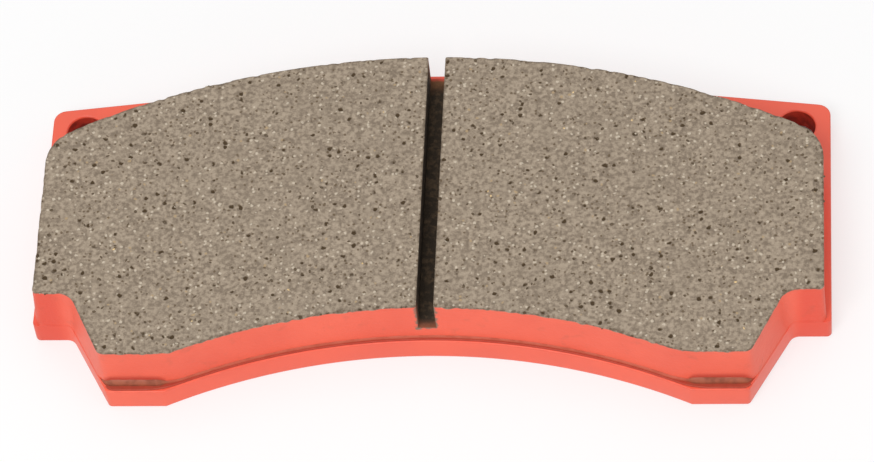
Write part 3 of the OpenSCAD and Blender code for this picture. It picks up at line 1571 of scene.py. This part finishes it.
GRAINS = (
    GrainFinish(
        kind=GrainKind.MINERAL,
        number=26000.0,
        size=0.00034,
        main=(0.59, 0.51, 0.40, 1.0),
        other=(0.47, 0.40, 0.30, 1.0),
    ),
    GrainFinish(
        kind=GrainKind.GRAPHITE,
        number=30000.0,
        size=0.00044,
        main=(0.080, 0.052, 0.026, 1.0),
        other=(0.13, 0.09, 0.052, 1.0),
    ),
    GrainFinish(
        kind=GrainKind.BRASS,
        number=2600.0,
        size=0.00034,
        main=(0.72, 0.54, 0.30, 1.0),
        other=(0.60, 0.43, 0.22, 1.0),
        metallic=0.85,
        roughness=0.4,
    ),
)


@dataclass(frozen=True)
class FloorFinish:
    """A plain white studio floor that keeps the object's shadow.

    Attributes:
        hole: Place of the right-hand pin hole.
        shade: Distance from the middle of each hole within which the floor adds nothing.
        seen: Lit colour that the camera and mirrors see.
        glow: What the floor adds to it, for them alone.
        bounced: Colour that lights the object.
        roughness: Roughness of the floor.
    """

    hole: Vector
    shade: float
    seen: Colour = (0.39, 0.39, 0.39, 1.0)
    glow: Colour = (0.61, 0.61, 0.61, 1.0)
    bounced: Colour = (0.80, 0.80, 0.80, 1.0)
    roughness: float = 0.9

    def material(self) -> Material:
        """Wires the floor.

        Returns:
            The material.
        """
        canvas = Canvas.opened("studio_floor", specular=0.1)
        wiring = canvas.wiring
        shown = straight_rays(wiring)
        across, along, _ = wiring.split(canvas.place)
        inputs = {0: wiring.combined(wiring.math("ABSOLUTE", across), along), 1: self.hole.to_3d()}
        from_hole = wiring.node("ShaderNodeVectorMath", inputs, operation="DISTANCE").outputs["Value"]
        clear = wiring.math("GREATER_THAN", from_hole, self.shade)
        black = (0.0, 0.0, 0.0, 1.0)
        return canvas.finished(
            base_color=wiring.blend(shown, self.bounced, self.seen),
            emission_color=wiring.blend(wiring.math("MULTIPLY", shown, clear), black, self.glow),
            emission_strength=1.0,
            roughness=self.roughness,
        )


def straight_rays(wiring: Wiring) -> Socket:
    """Tells the rays that show a surface from those that light one.

    Args:
        wiring: The tree to add the test to.

    Returns:
        1 for rays from the camera, a mirror or glass, and 0 for the light on other surfaces.
    """
    path = wiring.node("ShaderNodeLightPath").outputs
    shown = wiring.math("MAXIMUM", path["Is Camera Ray"], path["Is Glossy Ray"])
    return wiring.math("MAXIMUM", shown, path["Is Transmission Ray"])


# Geometry nodes


class NodeTool:
    """A geometry node tree with named inputs, which turns a source object into a plain piece."""

    def __init__(self, name: str) -> None:
        """Starts the tree with its geometry sockets.

        Args:
            name: The tree's name.
        """
        self.tree = bpy.data.node_groups.new(name, "GeometryNodeTree")
        self.socket("Geometry", "NodeSocketGeometry")
        self.tree.interface.new_socket(name="Geometry", in_out="OUTPUT", socket_type="NodeSocketGeometry")
        self.wiring = Wiring(self.tree)

    def socket(self, name: str, kind: str = "NodeSocketFloat") -> None:
        """Adds a named input."""
        self.tree.interface.new_socket(name=name, in_out="INPUT", socket_type=kind)

    def attribute(self, name: str, kind: str) -> Socket:
        """Reads an attribute of the mesh."""
        return self.wiring.node("GeometryNodeInputNamedAttribute", {"Name": name}, data_type=kind).outputs[0]

    def position(self) -> Socket:
        """Reads the places of the points."""
        return self.wiring.node("GeometryNodeInputPosition").outputs[0]

    def in_zone(self, zone: Zone) -> Socket:
        """Selects the faces of one zone."""
        inputs = {2: self.attribute("zone", "INT"), 3: zone.value}
        return self.wiring.node("FunctionNodeCompare", inputs, data_type="INT", operation="EQUAL").outputs[0]

    def random(self, low: Value, high: Value, seed: Value) -> Socket:
        """Adds a random vector between two corners."""
        inputs = {0: low, 1: high, "Seed": seed}
        return self.wiring.node("FunctionNodeRandomValue", inputs, data_type="FLOAT_VECTOR").outputs[0]

    def moved(self, geometry: Value, **inputs: Value) -> Socket:
        """Moves the points to a position or by an offset, and makes instances real."""
        named = {"Geometry": geometry, **{name.capitalize(): value for name, value in inputs.items()}}
        return self.real(self.wiring.node("GeometryNodeSetPosition", named).outputs[0])

    def real(self, geometry: Value) -> Socket:
        """Makes instances real."""
        return self.wiring.node("GeometryNodeRealizeInstances", {0: geometry}).outputs[0]

    def dressed(self, geometry: Value, material: Value, selection: Value = True) -> Socket:
        """Gives the selected faces a material."""
        inputs = {"Geometry": geometry, "Selection": selection, "Material": material}
        return self.wiring.node("GeometryNodeSetMaterial", inputs).outputs[0]

    def closed(self, geometry: Value) -> None:
        """Ends the tree."""
        self.wiring.node("NodeGroupOutput", {"Geometry": geometry})

    def applied(self, source: Object, name: str, values: dict[str, Value]) -> Object:
        """Runs the tree on an object and keeps the result as a plain mesh.

        Args:
            source: The object that it works on, which stays as it is.
            name: Name of the new object.
            values: The tree's named inputs.

        Returns:
            The new object.
        """
        modifier = source.modifiers.new(self.tree.name, "NODES")
        modifier.node_group = self.tree
        sockets = self.tree.interface.items_tree
        identifiers = {item.name: item.identifier for item in sockets if item.in_out == "INPUT"}
        for label, value in values.items():
            modifier[identifiers[label]] = value
        depsgraph = bpy.context.evaluated_depsgraph_get()
        mesh = bpy.data.meshes.new_from_object(source.evaluated_get(depsgraph), depsgraph=depsgraph)
        source.modifiers.remove(modifier)
        return linked(name, mesh)


class GrindTool(NodeTool):
    """Opens pits in a ground face, gives walls their grain and hands out the zones' materials."""

    PITS = ("Pit scale", "Pit reach", "Pit share")
    OTHERS = ("Pit depth", "Tooth scale", "Tooth depth", "Wall depth")

    def __init__(self) -> None:
        """Builds the tree."""
        super().__init__("Grind")
        for name in self.PITS + self.OTHERS:
            self.socket(name)
        for zone in Zone:
            self.socket(zone.name.capitalize(), "NodeSocketMaterial")
        wiring = self.wiring
        given = wiring.node("NodeGroupInput").outputs
        place = self.position()
        pits = speck_field(wiring, place, *(given[name] for name in self.PITS))
        grain = wiring.noise(place, given["Tooth scale"]).outputs[0]
        pitted = wiring.math("MULTIPLY", pits, given["Pit depth"])
        toothed = wiring.math("MULTIPLY", grain, given["Tooth depth"])
        fall = wiring.math("ADD", pitted, toothed)
        ground = wiring.math("MULTIPLY", fall, self.attribute("ground", "FLOAT"))
        down = wiring.combined(z=wiring.negative(ground))
        back = wiring.negative(wiring.math("MULTIPLY", grain, given["Wall depth"]))
        inward = wiring.scaled(self.attribute("outward", "FLOAT_VECTOR"), back)
        mesh = self.moved(given["Geometry"], offset=wiring.vector("ADD", down, inward))
        for zone in Zone:
            mesh = self.dressed(mesh, given[zone.name.capitalize()], self.in_zone(zone))
        self.closed(mesh)


class GrainTool(NodeTool):
    """Sets grains of every kind into a ground face.

    Attributes:
        SEED_STEP: Step between the seeds of two kinds.
        SMALLEST: Length and breadth of the smallest grain, as a share of the largest one's length.
        BREADTH: Breadth of the largest grain, as a share of its length.
    """

    SEED_STEP = 10.0
    SMALLEST = 0.35
    BREADTH = 0.75

    def __init__(self) -> None:
        """Builds the tree."""
        super().__init__("Grains")
        self.socket("Proud")
        self.socket("Seed", "NodeSocketInt")
        for kind in GrainKind:
            self.socket(f"{kind.value} number")
            self.socket(f"{kind.value} size")
            self.socket(f"{kind.value} material", "NodeSocketMaterial")
        given = self.wiring.node("NodeGroupInput").outputs
        joined = self.wiring.node("GeometryNodeJoinGeometry")
        for order, kind in enumerate(GrainKind):
            seed = self.wiring.math("ADD", given["Seed"], order * self.SEED_STEP)
            grains = self.sown(given, given[f"{kind.value} number"], given[f"{kind.value} size"], seed)
            dressed = self.dressed(self.real(grains), given[f"{kind.value} material"])
            self.wiring.feed(joined.inputs[0], dressed)
        self.closed(joined.outputs[0])

    def sown(self, given: bpy.types.NodeOutputs, number: Value, size: Value, seed: Value) -> Socket:
        """Scatters flat grains of one kind over the ground face.

        Args:
            given: The tree's inputs.
            number: Grains on one square metre.
            size: Half of the length of the largest.
            seed: Seed of their places and turns, and with 1 added of their sizes.

        Returns:
            The grains, as instances.
        """
        wiring = self.wiring
        face = {"Mesh": given["Geometry"], "Selection": self.in_zone(Zone.FACE)}
        inputs = {**face, "Density": number, "Seed": seed}
        points = wiring.node("GeometryNodeDistributePointsOnFaces", inputs)
        least = wiring.math("MULTIPLY", size, self.SMALLEST)
        breadth = wiring.math("MULTIPLY", size, self.BREADTH)
        smallest = wiring.combined(least, least, given["Proud"])
        largest = wiring.combined(size, breadth, given["Proud"])
        chip = wiring.node("GeometryNodeMeshIcoSphere", {"Radius": 1.0, "Subdivisions": 2})
        inputs = {
            "Points": points.outputs["Points"],
            "Instance": chip.outputs["Mesh"],
            "Rotation": self.random((0.0, 0.0, 0.0), (0.0, 0.0, math.tau), seed),
            "Scale": self.random(smallest, largest, wiring.math("ADD", seed, 1.0)),
        }
        return wiring.node("GeometryNodeInstanceOnPoints", inputs).outputs[0]


class BeadTool(NodeTool):
    """Sweeps a lumpy bead along a path, by the radius of its points, and cuts it flat below."""

    SIDES = 14

    def __init__(self) -> None:
        """Builds the tree."""
        super().__init__("Bead")
        for name in ("Floor", "Lump scale", "Lump height"):
            self.socket(name)
        self.socket("Material", "NodeSocketMaterial")
        wiring = self.wiring
        given = wiring.node("NodeGroupInput").outputs
        profile = wiring.node("GeometryNodeCurvePrimitiveCircle", {"Resolution": self.SIDES, "Radius": 1.0})
        inputs = {
            "Curve": given["Geometry"],
            "Profile Curve": profile.outputs["Curve"],
            "Scale": wiring.node("GeometryNodeInputRadius").outputs[0],
            "Fill Caps": True,
        }
        tube = wiring.node("GeometryNodeCurveToMesh", inputs).outputs[0]
        place = self.position()
        lump = wiring.noise(place, given["Lump scale"]).outputs[0]
        height = wiring.math("MULTIPLY", wiring.math("SUBTRACT", lump, NOISE_MIDDLE), given["Lump height"])
        normal = wiring.node("GeometryNodeInputNormal").outputs[0]
        across, along, up = wiring.split(wiring.vector("ADD", place, wiring.scaled(normal, height)))
        cut = wiring.combined(across, along, wiring.math("MAXIMUM", up, given["Floor"]))
        self.closed(self.dressed(self.moved(tube, position=cut), given["Material"]))


# Pieces


@dataclass(frozen=True)
class Wardrobe:
    """The finishes of the pad, made once and worn by several pieces."""

    paint: Material
    bore: Material
    lining_paint: Material
    compound: Material
    slot: Material
    film: Material
    bead: Material
    grains: dict[GrainKind, Material]

    @classmethod
    def filled(cls, lining: LiningOutline) -> "Wardrobe":
        """Makes every finish.

        Args:
            lining: The lining's outline.

        Returns:
            The finishes.
        """
        pad = lining.pad
        foot = lining.plate.foot_middle
        # Two copies of the paint dust's colour: a shaded one painted on the film's ledge and a lit one
        # painted on the bead.
        shaded = (0.45, 0.053, 0.028, 1.0)
        lit = (0.64, 0.098, 0.052, 1.0)
        return cls(
            paint=PaintFinish().material(),
            bore=BoreFinish().material(),
            lining_paint=LiningPaintFinish(pad.face, pad.slot_half, pad.under_top).material(),
            compound=CompoundFinish().material(),
            slot=SlotFinish(lining.mouth_y, pad.lining_top_y).material(),
            film=AdhesiveFinish("film_dust_and_shade", foot, bare_dust=0.75, dust=0.95, light_toned_dust=shaded).material(),
            bead=AdhesiveFinish("bead_dust_and_light", foot, bare_dust=0.08, dust=0.6, light_toned_dust=lit).material(),
            grains={grain.kind: grain.material() for grain in GRAINS},
        )


@dataclass
class Piece:
    """What every piece of the pad takes its shape and its finishes from.

    Attributes:
        lining: The lining's outline, with the plate's.
        wardrobe: The finishes.
    """

    lining: LiningOutline
    wardrobe: Wardrobe

    @property
    def pad(self) -> PadFrame:
        """Sizes from the frame."""
        return self.lining.pad

    @staticmethod
    def settle(piece: Object, slot: str, *nodes: str) -> None:
        """Fits a finished piece to the frame and reports it.

        Args:
            piece: The piece.
            slot: The record's material slot, which is not used.
            *nodes: The nodes that it stands for.
        """
        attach(piece, BODY)
        if nodes:
            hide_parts(*nodes)
        piece.data.calc_loop_triangles()
        LOG.info("%s: %d triangles", piece.name, len(piece.data.loop_triangles))


@dataclass
class BackingPlate(Piece):
    """The stamped steel plate with its two pin holes.

    Attributes:
        spacing: Distance between the outline's points.
        edge_radius: Radius of its edges.
        seam_radius: Radius of the upper edge at ears and flanks, where paint fills the lining's seam.
        seam_reach: Points over which the two radii blend.
        rim_radius: Radius of the holes' rims.
        edge_steps: Segments of each rounded edge.
        hole_points: Points round each hole.
    """

    spacing: float = 0.0006
    edge_radius: float = 0.0003
    seam_radius: float = 0.00006
    seam_reach: int = 3
    rim_radius: float = 0.0004
    edge_steps: int = 5
    hole_points: int = 96

    def walls(
        self, shell: Shell, outline: Outline, low: float, high: float | np.ndarray, zone: Zone
    ) -> tuple[np.ndarray, np.ndarray]:
        """Builds the wall along an outline, with its two rounded edges.

        Args:
            shell: The shell to build in.
            outline: The outline, clockwise for a hole.
            low: Radius of the lower edge.
            high: Radius of the upper edge, or one for each point.
            zone: Zone of the wall between its edges.

        Returns:
            The lowest and the highest ring.
        """
        curve = rounding(1.0, self.edge_steps)
        wear = [math.sin(math.pi * step / self.edge_steps) for step in range(self.edge_steps + 1)]
        section = list(zip(curve, wear))
        # Painted shade under the ears.
        pool = outline.share(self.seam_reach, Stretch.EAR)
        rings = []
        for (inset, depth), worn in reversed(section):
            rings.append(shell.add(outline.inset(low * inset), low * depth, edge=worn, pool=pool))
        for (inset, depth), worn in section:
            z = self.pad.plate_top - high * depth
            rings.append(shell.add(outline.inset(high * inset), z, edge=worn, pool=pool))
        for row, (below, above) in enumerate(zip(rings, rings[1:])):
            row_zone = zone if row == self.edge_steps else Zone.WALL
            shell.skirt(below, above, [row_zone] * len(outline.points))
        return rings[0], rings[-1]

    def hole(self, side: Side) -> Outline:
        """Draws one pin hole, clockwise.

        Args:
            side: Which hole.

        Returns:
            The outline.
        """
        radius = self.pad.hole_radius
        pen = Pen(math.tau * radius / self.hole_points)
        centre = Vector((side.value * self.pad.hole_x, self.pad.hole_y))
        pen.arc(centre, radius, 0.0, -math.tau, Stretch.SIDE)
        return Outline(np.array(pen.points), pen.tags)

    def build(self) -> None:
        """Builds and dresses the plate."""
        shell = Shell()
        outline = self.lining.plate.drawn(self.spacing)
        filled = outline.share(self.seam_reach, Stretch.EAR, Stretch.FLANK)
        seam = self.edge_radius + (self.seam_radius - self.edge_radius) * filled
        ends = [self.walls(shell, outline, self.edge_radius, seam, Zone.WALL)]
        for side in Side:
            ends.append(self.walls(shell, self.hole(side), self.rim_radius, self.rim_radius, Zone.CUT))
        lowest, highest = zip(*ends)
        shell.cap(lowest, Zone.FACE, up=False)
        shell.cap(highest, Zone.FACE, up=True)
        paint = self.wardrobe.paint
        plate = shell.made("painted_plate", paint, paint, self.wardrobe.bore)
        self.settle(plate, "painted_steel", "backing_plate")


@dataclass
class BondFilm(Piece):
    """The adhesive film under the lining, and the bead that was squeezed out along its lower edge.

    Attributes:
        tool: Sweeps the bead.
        arch_margin: Margin between the film and the arch.
        spacing: Distance between the outline's points.
        edge_radius: Radius of the film's edge.
        edge_steps: Segments of the rounded edge.
        creep: How far the film's edge draws back.
        creep_reach: Points over which it wanders.
        bead_foot: Radius of the bead in the middle of the feet.
        bead_arch: Radius of the bead along the arch.
        bead_sunk: How far the bead is sunk into the wall, as a share of its radius.
        lump_scale: Lumps of the bead on one metre.
        lump_height: Height of the lumps.
        seed: Seed of the film's edge.
    """

    tool: BeadTool
    arch_margin: float = 0.0003
    spacing: float = 0.0005
    edge_radius: float = 0.00014
    edge_steps: int = 3
    creep: float = 0.0001
    creep_reach: int = 4
    bead_foot: float = 0.0013
    bead_arch: float = 0.00055
    bead_sunk: float = 0.5
    lump_scale: float = 420.0
    lump_height: float = 0.00022
    seed: int = 11

    def build(self) -> None:
        """Builds and dresses the film and its bead."""
        self.film()
        self.bead()

    def film(self) -> None:
        """Builds the film."""
        outline = self.lining.whole(self.spacing, self.pad.bond_foot_y, self.arch_margin)
        creep = wander(len(outline.points), self.creep_reach, self.seed) * self.creep
        drawn_back = creep * outline.on(Stretch.FOOT, Stretch.ARCH) - self.lining.flare(outline)
        # Painted shade under the ears.
        pool = outline.share(self.lining.flare_reach, Stretch.EAR)
        zones = outline.zones(Zone.FACE, Zone.WALL, Stretch.FOOT, Stretch.ARCH)
        shell = Shell()
        rings = [shell.add(outline.inset(drawn_back), self.pad.plate_top, pool=pool)]
        for inset, depth in rounding(self.edge_radius, self.edge_steps):
            rings.append(shell.add(outline.inset(drawn_back + inset), self.pad.bond_top - depth, pool=pool))
        for low, high in zip(rings, rings[1:]):
            shell.skirt(low, high, zones)
        shell.cap([rings[0]], Zone.FACE, up=False)
        shell.cap([rings[-1]], Zone.FACE, up=True)
        film = shell.made("bond_film", self.wardrobe.film, self.wardrobe.lining_paint)
        self.settle(film, "adhesive", "bond_layer")

    def bead(self) -> None:
        """Sweeps the bead along the feet and the arch."""
        outline = self.lining.body(self.spacing)
        radii = self.bead_arch + (self.bead_foot - self.bead_arch) * self.lining.swell(outline.points)
        sunk = outline.inset(radii * self.bead_sunk)
        held = outline.on(Stretch.FOOT, Stretch.ARCH)
        start = np.flatnonzero(held & ~np.roll(held, 1))[0]
        run = (start + np.arange(held.sum())) % len(held)
        curve = bpy.data.curves.new("bead_path", "CURVE")
        curve.dimensions = "3D"
        spline = curve.splines.new("POLY")
        spline.points.add(len(run) - 1)
        for point, (x, y), radius in zip(spline.points, sunk[run], radii[run]):
            point.co = (x, y, self.pad.bond_top, 1.0)
            point.radius = radius
        source = linked("bead_path", curve)
        values = {
            "Floor": self.pad.plate_top,
            "Lump scale": self.lump_scale,
            "Lump height": self.lump_height,
            "Material": self.wardrobe.bead,
        }
        bead = self.tool.applied(source, "adhesive_bead", values)
        bpy.data.curves.remove(curve)
        bead.data.shade_smooth()
        self.settle(bead, "adhesive")


@dataclass
class Moulding(Piece):
    """What the underlayer and the friction blocks share: walls of grainy compound.

    Attributes:
        grind: Roughens the surface.
        spacing: Distance between points of the outline.
        row_height: Height of the rows of a wall.
        wall_depth: Depth of the walls' grain.
        tooth_scale: Grains on one metre.
        tooth_depth: Depth of the grain on top.
        pits: The pits in the top.
        pit_depth: Depth of the pits.
        root_shade_foot: How far the painted shade at the walls' root reaches above the film over the middle
            of the feet.
        root_shade_arch: The same over the arch.
        root_shade_fade: Height over which its colour fades.
    """

    grind: GrindTool
    spacing: float = 0.0004
    row_height: float = 0.0005
    wall_depth: float = 0.00009
    tooth_scale: float = 1300.0
    tooth_depth: float = 0.0002
    pits: SpeckFamily = CompoundFinish.pits
    pit_depth: float = 0.0
    root_shade_foot: float = 0.0027
    root_shade_arch: float = 0.0007
    root_shade_fade: float = 0.0011

    def wall(self, shell: Shell, outline: Outline, low: float, high: float | np.ndarray) -> np.ndarray:
        """Builds a wall with its bottom cap.

        Args:
            shell: The shell to build in.
            outline: Its outline.
            low: Height of its foot.
            high: Height of its top, or one for each point.

        Returns:
            The highest ring.
        """
        rows = max(1, round((float(np.max(high)) - low) / self.row_height))
        ways = outline.outward()
        lean = self.lining.lean(outline)
        wet = outline.on(Stretch.FOOT, Stretch.ARCH)
        # Painted shade under the ears.
        pool = outline.share(self.lining.flare_reach, Stretch.EAR)
        # Painted shade at the root of the wall, over the feet and the arch, carried in the edge mark.
        root = self.pad.bond_top + self.root_shade_arch
        root = root + (self.root_shade_foot - self.root_shade_arch) * self.lining.swell(outline.points)
        rings = []
        for row in range(rows + 1):
            z = low + (high - low) * row / rows
            points = outline.inset(-lean * (self.pad.face - z))
            root_shade_share = wet * np.clip((root - z) / self.root_shade_fade, 0.0, 1.0)
            rings.append(shell.add(points, z, ways, edge=root_shade_share, pool=pool))
        shell.cap([rings[0]], Zone.CUT, up=False)
        zones = outline.zones(Zone.CUT, Zone.WALL, Stretch.SLOT)
        for below, above in zip(rings, rings[1:]):
            shell.skirt(below, above, zones)
        return rings[-1]

    def roughened(self, shell: Shell, name: str) -> Object:
        """Turns a shell into a dressed piece with a grainy surface.

        Args:
            shell: The shell.
            name: The piece's name.

        Returns:
            The piece.
        """
        source = shell.made(f"{name}_shell")
        values = {
            "Pit scale": self.pits.scale,
            "Pit reach": self.pits.reach,
            "Pit share": self.pits.share,
            "Pit depth": self.pit_depth,
            "Tooth scale": self.tooth_scale,
            "Tooth depth": self.tooth_depth,
            "Wall depth": self.wall_depth,
            "Face": self.wardrobe.compound,
            "Wall": self.wardrobe.lining_paint,
            "Cut": self.wardrobe.slot,
        }
        piece = self.grind.applied(source, name, values)
        bpy.data.meshes.remove(source.data)
        piece.data.set_sharp_from_angle(angle=SHARP_ANGLE)
        return piece


@dataclass
class Underlayer(Moulding):
    """The undivided layer between the film and the blocks, whose top is the slot's floor.

    Attributes:
        floor_spacing: Distance between points on the slot's floor.
        floor_seed: Seed of the floor's points.
    """

    floor_spacing: float = 0.0004
    floor_seed: int = 23

    def build(self) -> None:
        """Builds and dresses the underlayer."""
        pad = self.pad
        outline = self.lining.body(self.spacing)
        shell = Shell()
        ring = self.wall(shell, outline, pad.bond_top, pad.under_top)
        points = scattered(outline.inset(self.floor_spacing), self.floor_spacing, self.floor_seed)
        strip = points[np.abs(points[:, 0]) < pad.slot_half]
        floor = shell.add(strip, pad.under_top, ground=1.0)
        shell.cap([ring], Zone.CUT, up=True, inner=floor)
        self.settle(self.roughened(shell, "moulded_underlayer"), "lining_base", "underlayer")


@dataclass(kw_only=True)
class FrictionBlock(Moulding):
    """One half of the friction compound, with its ground face and chipped rim.

    Attributes:
        side: Which half.
        grains: Sets the grains.
        face_spacing: Distance between points on the ground face.
        rim_radius: Radius of the rim where it is sound.
        chip_radius: What the deepest chips add to it.
        slot_chip: Largest radius of the rim beside the slot.
        slot_chip_reach: How far from the slot that holds, as a multiple of its corners' radius.
        chip_start: Share of the rim that is sound.
        chip_reach: Points over which the chips wander.
        rim_steps: Segments of the rim.
        proud: How far the grains stand out of the face.
        seed: Seed of the rim, the face and the grains.
    """

    side: Side
    grains: GrainTool
    face_spacing: float = 0.0003
    rim_radius: float = 0.00012
    chip_radius: float = 0.0006
    slot_chip: float = 0.0002
    slot_chip_reach: float = 3.0
    chip_start: float = 0.48
    chip_reach: int = 2
    rim_steps: int = 3
    pit_depth: float = 0.00022
    tooth_depth: float = 0.00004
    proud: float = 0.00004
    seed: int = 31

    @property
    def draw(self) -> int:
        """Seed of this half."""
        return self.seed + self.side.value

    def rim(self, outline: Outline) -> np.ndarray:
        """Chips the rim.

        Args:
            outline: The block's outline.

        Returns:
            Radius of the rim at each point.
        """
        chips = np.clip(wander(len(outline.points), self.chip_reach, self.draw) - self.chip_start, 0.0, 1.0)
        radii = self.rim_radius + self.chip_radius * chips / (1.0 - self.chip_start)
        reach = self.pad.slot_half + self.slot_chip_reach * self.lining.slot_corner_radius
        by_slot = np.abs(outline.points[:, 0]) < reach
        return np.where(by_slot, np.minimum(radii, self.slot_chip), radii)

    def build(self) -> None:
        """Builds and dresses the block and its grains."""
        label = self.side.name.lower()
        outline = self.lining.half(self.spacing, self.side)
        face = self.pad.face - self.proud
        radii = self.rim(outline)
        lean = self.lining.lean(outline)
        shell = Shell()
        ring = self.wall(shell, outline, self.pad.under_top, face - radii)
        for share_in, share_down in rounding(1.0, self.rim_steps)[1:]:
            z = face - radii * share_down
            above = shell.add(outline.inset(radii * share_in - lean * (self.pad.face - z)), z, edge=1.0)
            shell.skirt(ring, above, [Zone.FACE] * len(above))
            ring = above
        inner_ring = outline.inset(radii + self.face_spacing / 2)
        points = shell.add(scattered(inner_ring, self.face_spacing, self.draw), face, ground=1.0)
        shell.cap([ring], Zone.FACE, up=True, inner=points)
        block = self.roughened(shell, f"ground_block_{label}")
        values: dict[str, Value] = {"Proud": self.proud, "Seed": self.draw}
        for grain in GRAINS:
            values[f"{grain.kind.value} number"] = grain.number
            values[f"{grain.kind.value} size"] = grain.size
            values[f"{grain.kind.value} material"] = self.wardrobe.grains[grain.kind]
        loose = self.grains.applied(block, f"compound_grains_{label}", values)
        loose.data.shade_smooth()
        self.settle(block, "friction_compound", f"friction_block_{label}")
        self.settle(loose, "friction_compound")


# Studio


@dataclass(frozen=True)
class Softbox:
    """A square soft light that faces the pad.

    Attributes:
        name: Its name.
        place: Where it stands.
        size: Its width.
        power: Its power in watts.
    """

    name: str
    place: tuple[float, float, float]
    size: float
    power: float


@dataclass
class Studio:
    """The floor, the lights and the camera.

    Attributes:
        floor_size: Width of the floor.
        floor_gap: Gap that keeps the floor off the pad's back face.
        hole_shade: Radius of the shaded floor under each pin hole, as a multiple of the hole's.
        softboxes: The lights.
        sky: Strength of the light from all round.
        camera_place: Where the camera stands.
        camera_aim: What it looks at.
        camera_roll: Its roll in degrees.
        lens: Its focal length in millimetres.
        clip_start: Nearest distance that it shows.
    """

    floor_size: float = 8.0
    floor_gap: float = 0.00002
    hole_shade: float = 1.25
    softboxes: tuple[Softbox, ...] = (
        Softbox("key", (-0.22, -0.58, 0.85), 0.45, 4.35),
        Softbox("overhead", (-0.05, 0.25, 1.10), 0.9, 2.0),
        Softbox("front_fill", (0.05, -1.00, 0.32), 0.5, 0.6),
        Softbox("left_fill", (-0.85, -0.75, 0.30), 0.6, 0.6),
        Softbox("right_fill", (0.95, -0.65, 0.22), 0.6, 1.7),
    )
    sky: float = 0.5
    camera_place: tuple[float, float, float] = (0.076943, -0.501708, 0.756957)
    camera_aim: tuple[float, float, float] = (0.000877, -0.002102, 0.008)
    camera_roll: float = -7.5805
    lens: float = 197.241
    clip_start: float = 0.01

    def build(self, pad: PadFrame) -> None:
        """Sets up the studio.

        Args:
            pad: Sizes from the frame.
        """
        self.floor(pad)
        self.world()
        for softbox in self.softboxes:
            self.light(softbox)
        self.camera()
        bpy.context.scene.view_settings.view_transform = "Standard"

    def floor(self, pad: PadFrame) -> None:
        """Lays the floor.

        Args:
            pad: Sizes from the frame.
        """
        half = self.floor_size / 2
        corners = [(-half, -half), (half, -half), (half, half), (-half, half)]
        mesh = bpy.data.meshes.new("studio_floor")
        mesh.from_pydata([(x, y, -self.floor_gap) for x, y in corners], [], [(0, 1, 2, 3)])
        hole = Vector((pad.hole_x, pad.hole_y))
        mesh.materials.append(FloorFinish(hole, pad.hole_radius * self.hole_shade).material())
        linked("studio_floor", mesh)

    def world(self) -> None:
        """Lights the studio from all round, in front of a white background."""
        world = bpy.data.worlds.new("studio_world")
        world.use_nodes = True
        world.node_tree.nodes.clear()
        wiring = Wiring(world.node_tree)
        strength = wiring.between(straight_rays(wiring), self.sky, 1.0)
        inputs = {"Color": (1.0, 1.0, 1.0, 1.0), "Strength": strength}
        background = wiring.node("ShaderNodeBackground", inputs)
        wiring.node("ShaderNodeOutputWorld", {"Surface": background.outputs[0]})
        bpy.context.scene.world = world

    def light(self, softbox: Softbox) -> None:
        """Hangs one softbox.

        Args:
            softbox: The light.
        """
        lamp = bpy.data.lights.new(softbox.name, "AREA")
        lamp.energy = softbox.power
        lamp.size = softbox.size
        light = linked(softbox.name, lamp)
        light.location = softbox.place
        light.rotation_euler = Vector(softbox.place).to_track_quat("Z", "Y").to_euler()

    def camera(self) -> None:
        """Stands the camera up."""
        place, aim = Vector(self.camera_place), Vector(self.camera_aim)
        ahead = (aim - place).normalized()
        right = ahead.cross(Vector((0.0, 0.0, 1.0))).normalized()
        level = Matrix((right, right.cross(ahead), -ahead)).transposed()
        turned = level @ Matrix.Rotation(math.radians(self.camera_roll), 3, "Z")
        data = bpy.data.cameras.new("camera")
        data.lens = self.lens
        data.sensor_fit = "HORIZONTAL"
        data.clip_start = self.clip_start
        camera = linked("camera", data)
        camera.matrix_world = Matrix.Translation(place) @ turned.to_4x4()
        bpy.context.scene.camera = camera


def main() -> None:
    """Builds the studio and the pad."""
    logging.basicConfig(level=logging.INFO, format="%(name)s: %(message)s")
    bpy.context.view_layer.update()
    pad = PadFrame.measured(frame["record"])
    lining = LiningOutline(PlateOutline(pad))
    wardrobe = Wardrobe.filled(lining)
    grind, grains = GrindTool(), GrainTool()
    Studio().build(pad)
    BackingPlate(lining, wardrobe).build()
    BondFilm(lining, wardrobe, BeadTool()).build()
    Underlayer(lining, wardrobe, grind).build()
    for side in Side:
        FrictionBlock(lining, wardrobe, grind, side=side, grains=grains).build()
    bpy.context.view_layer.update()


if __name__ == "__main__":
    main()
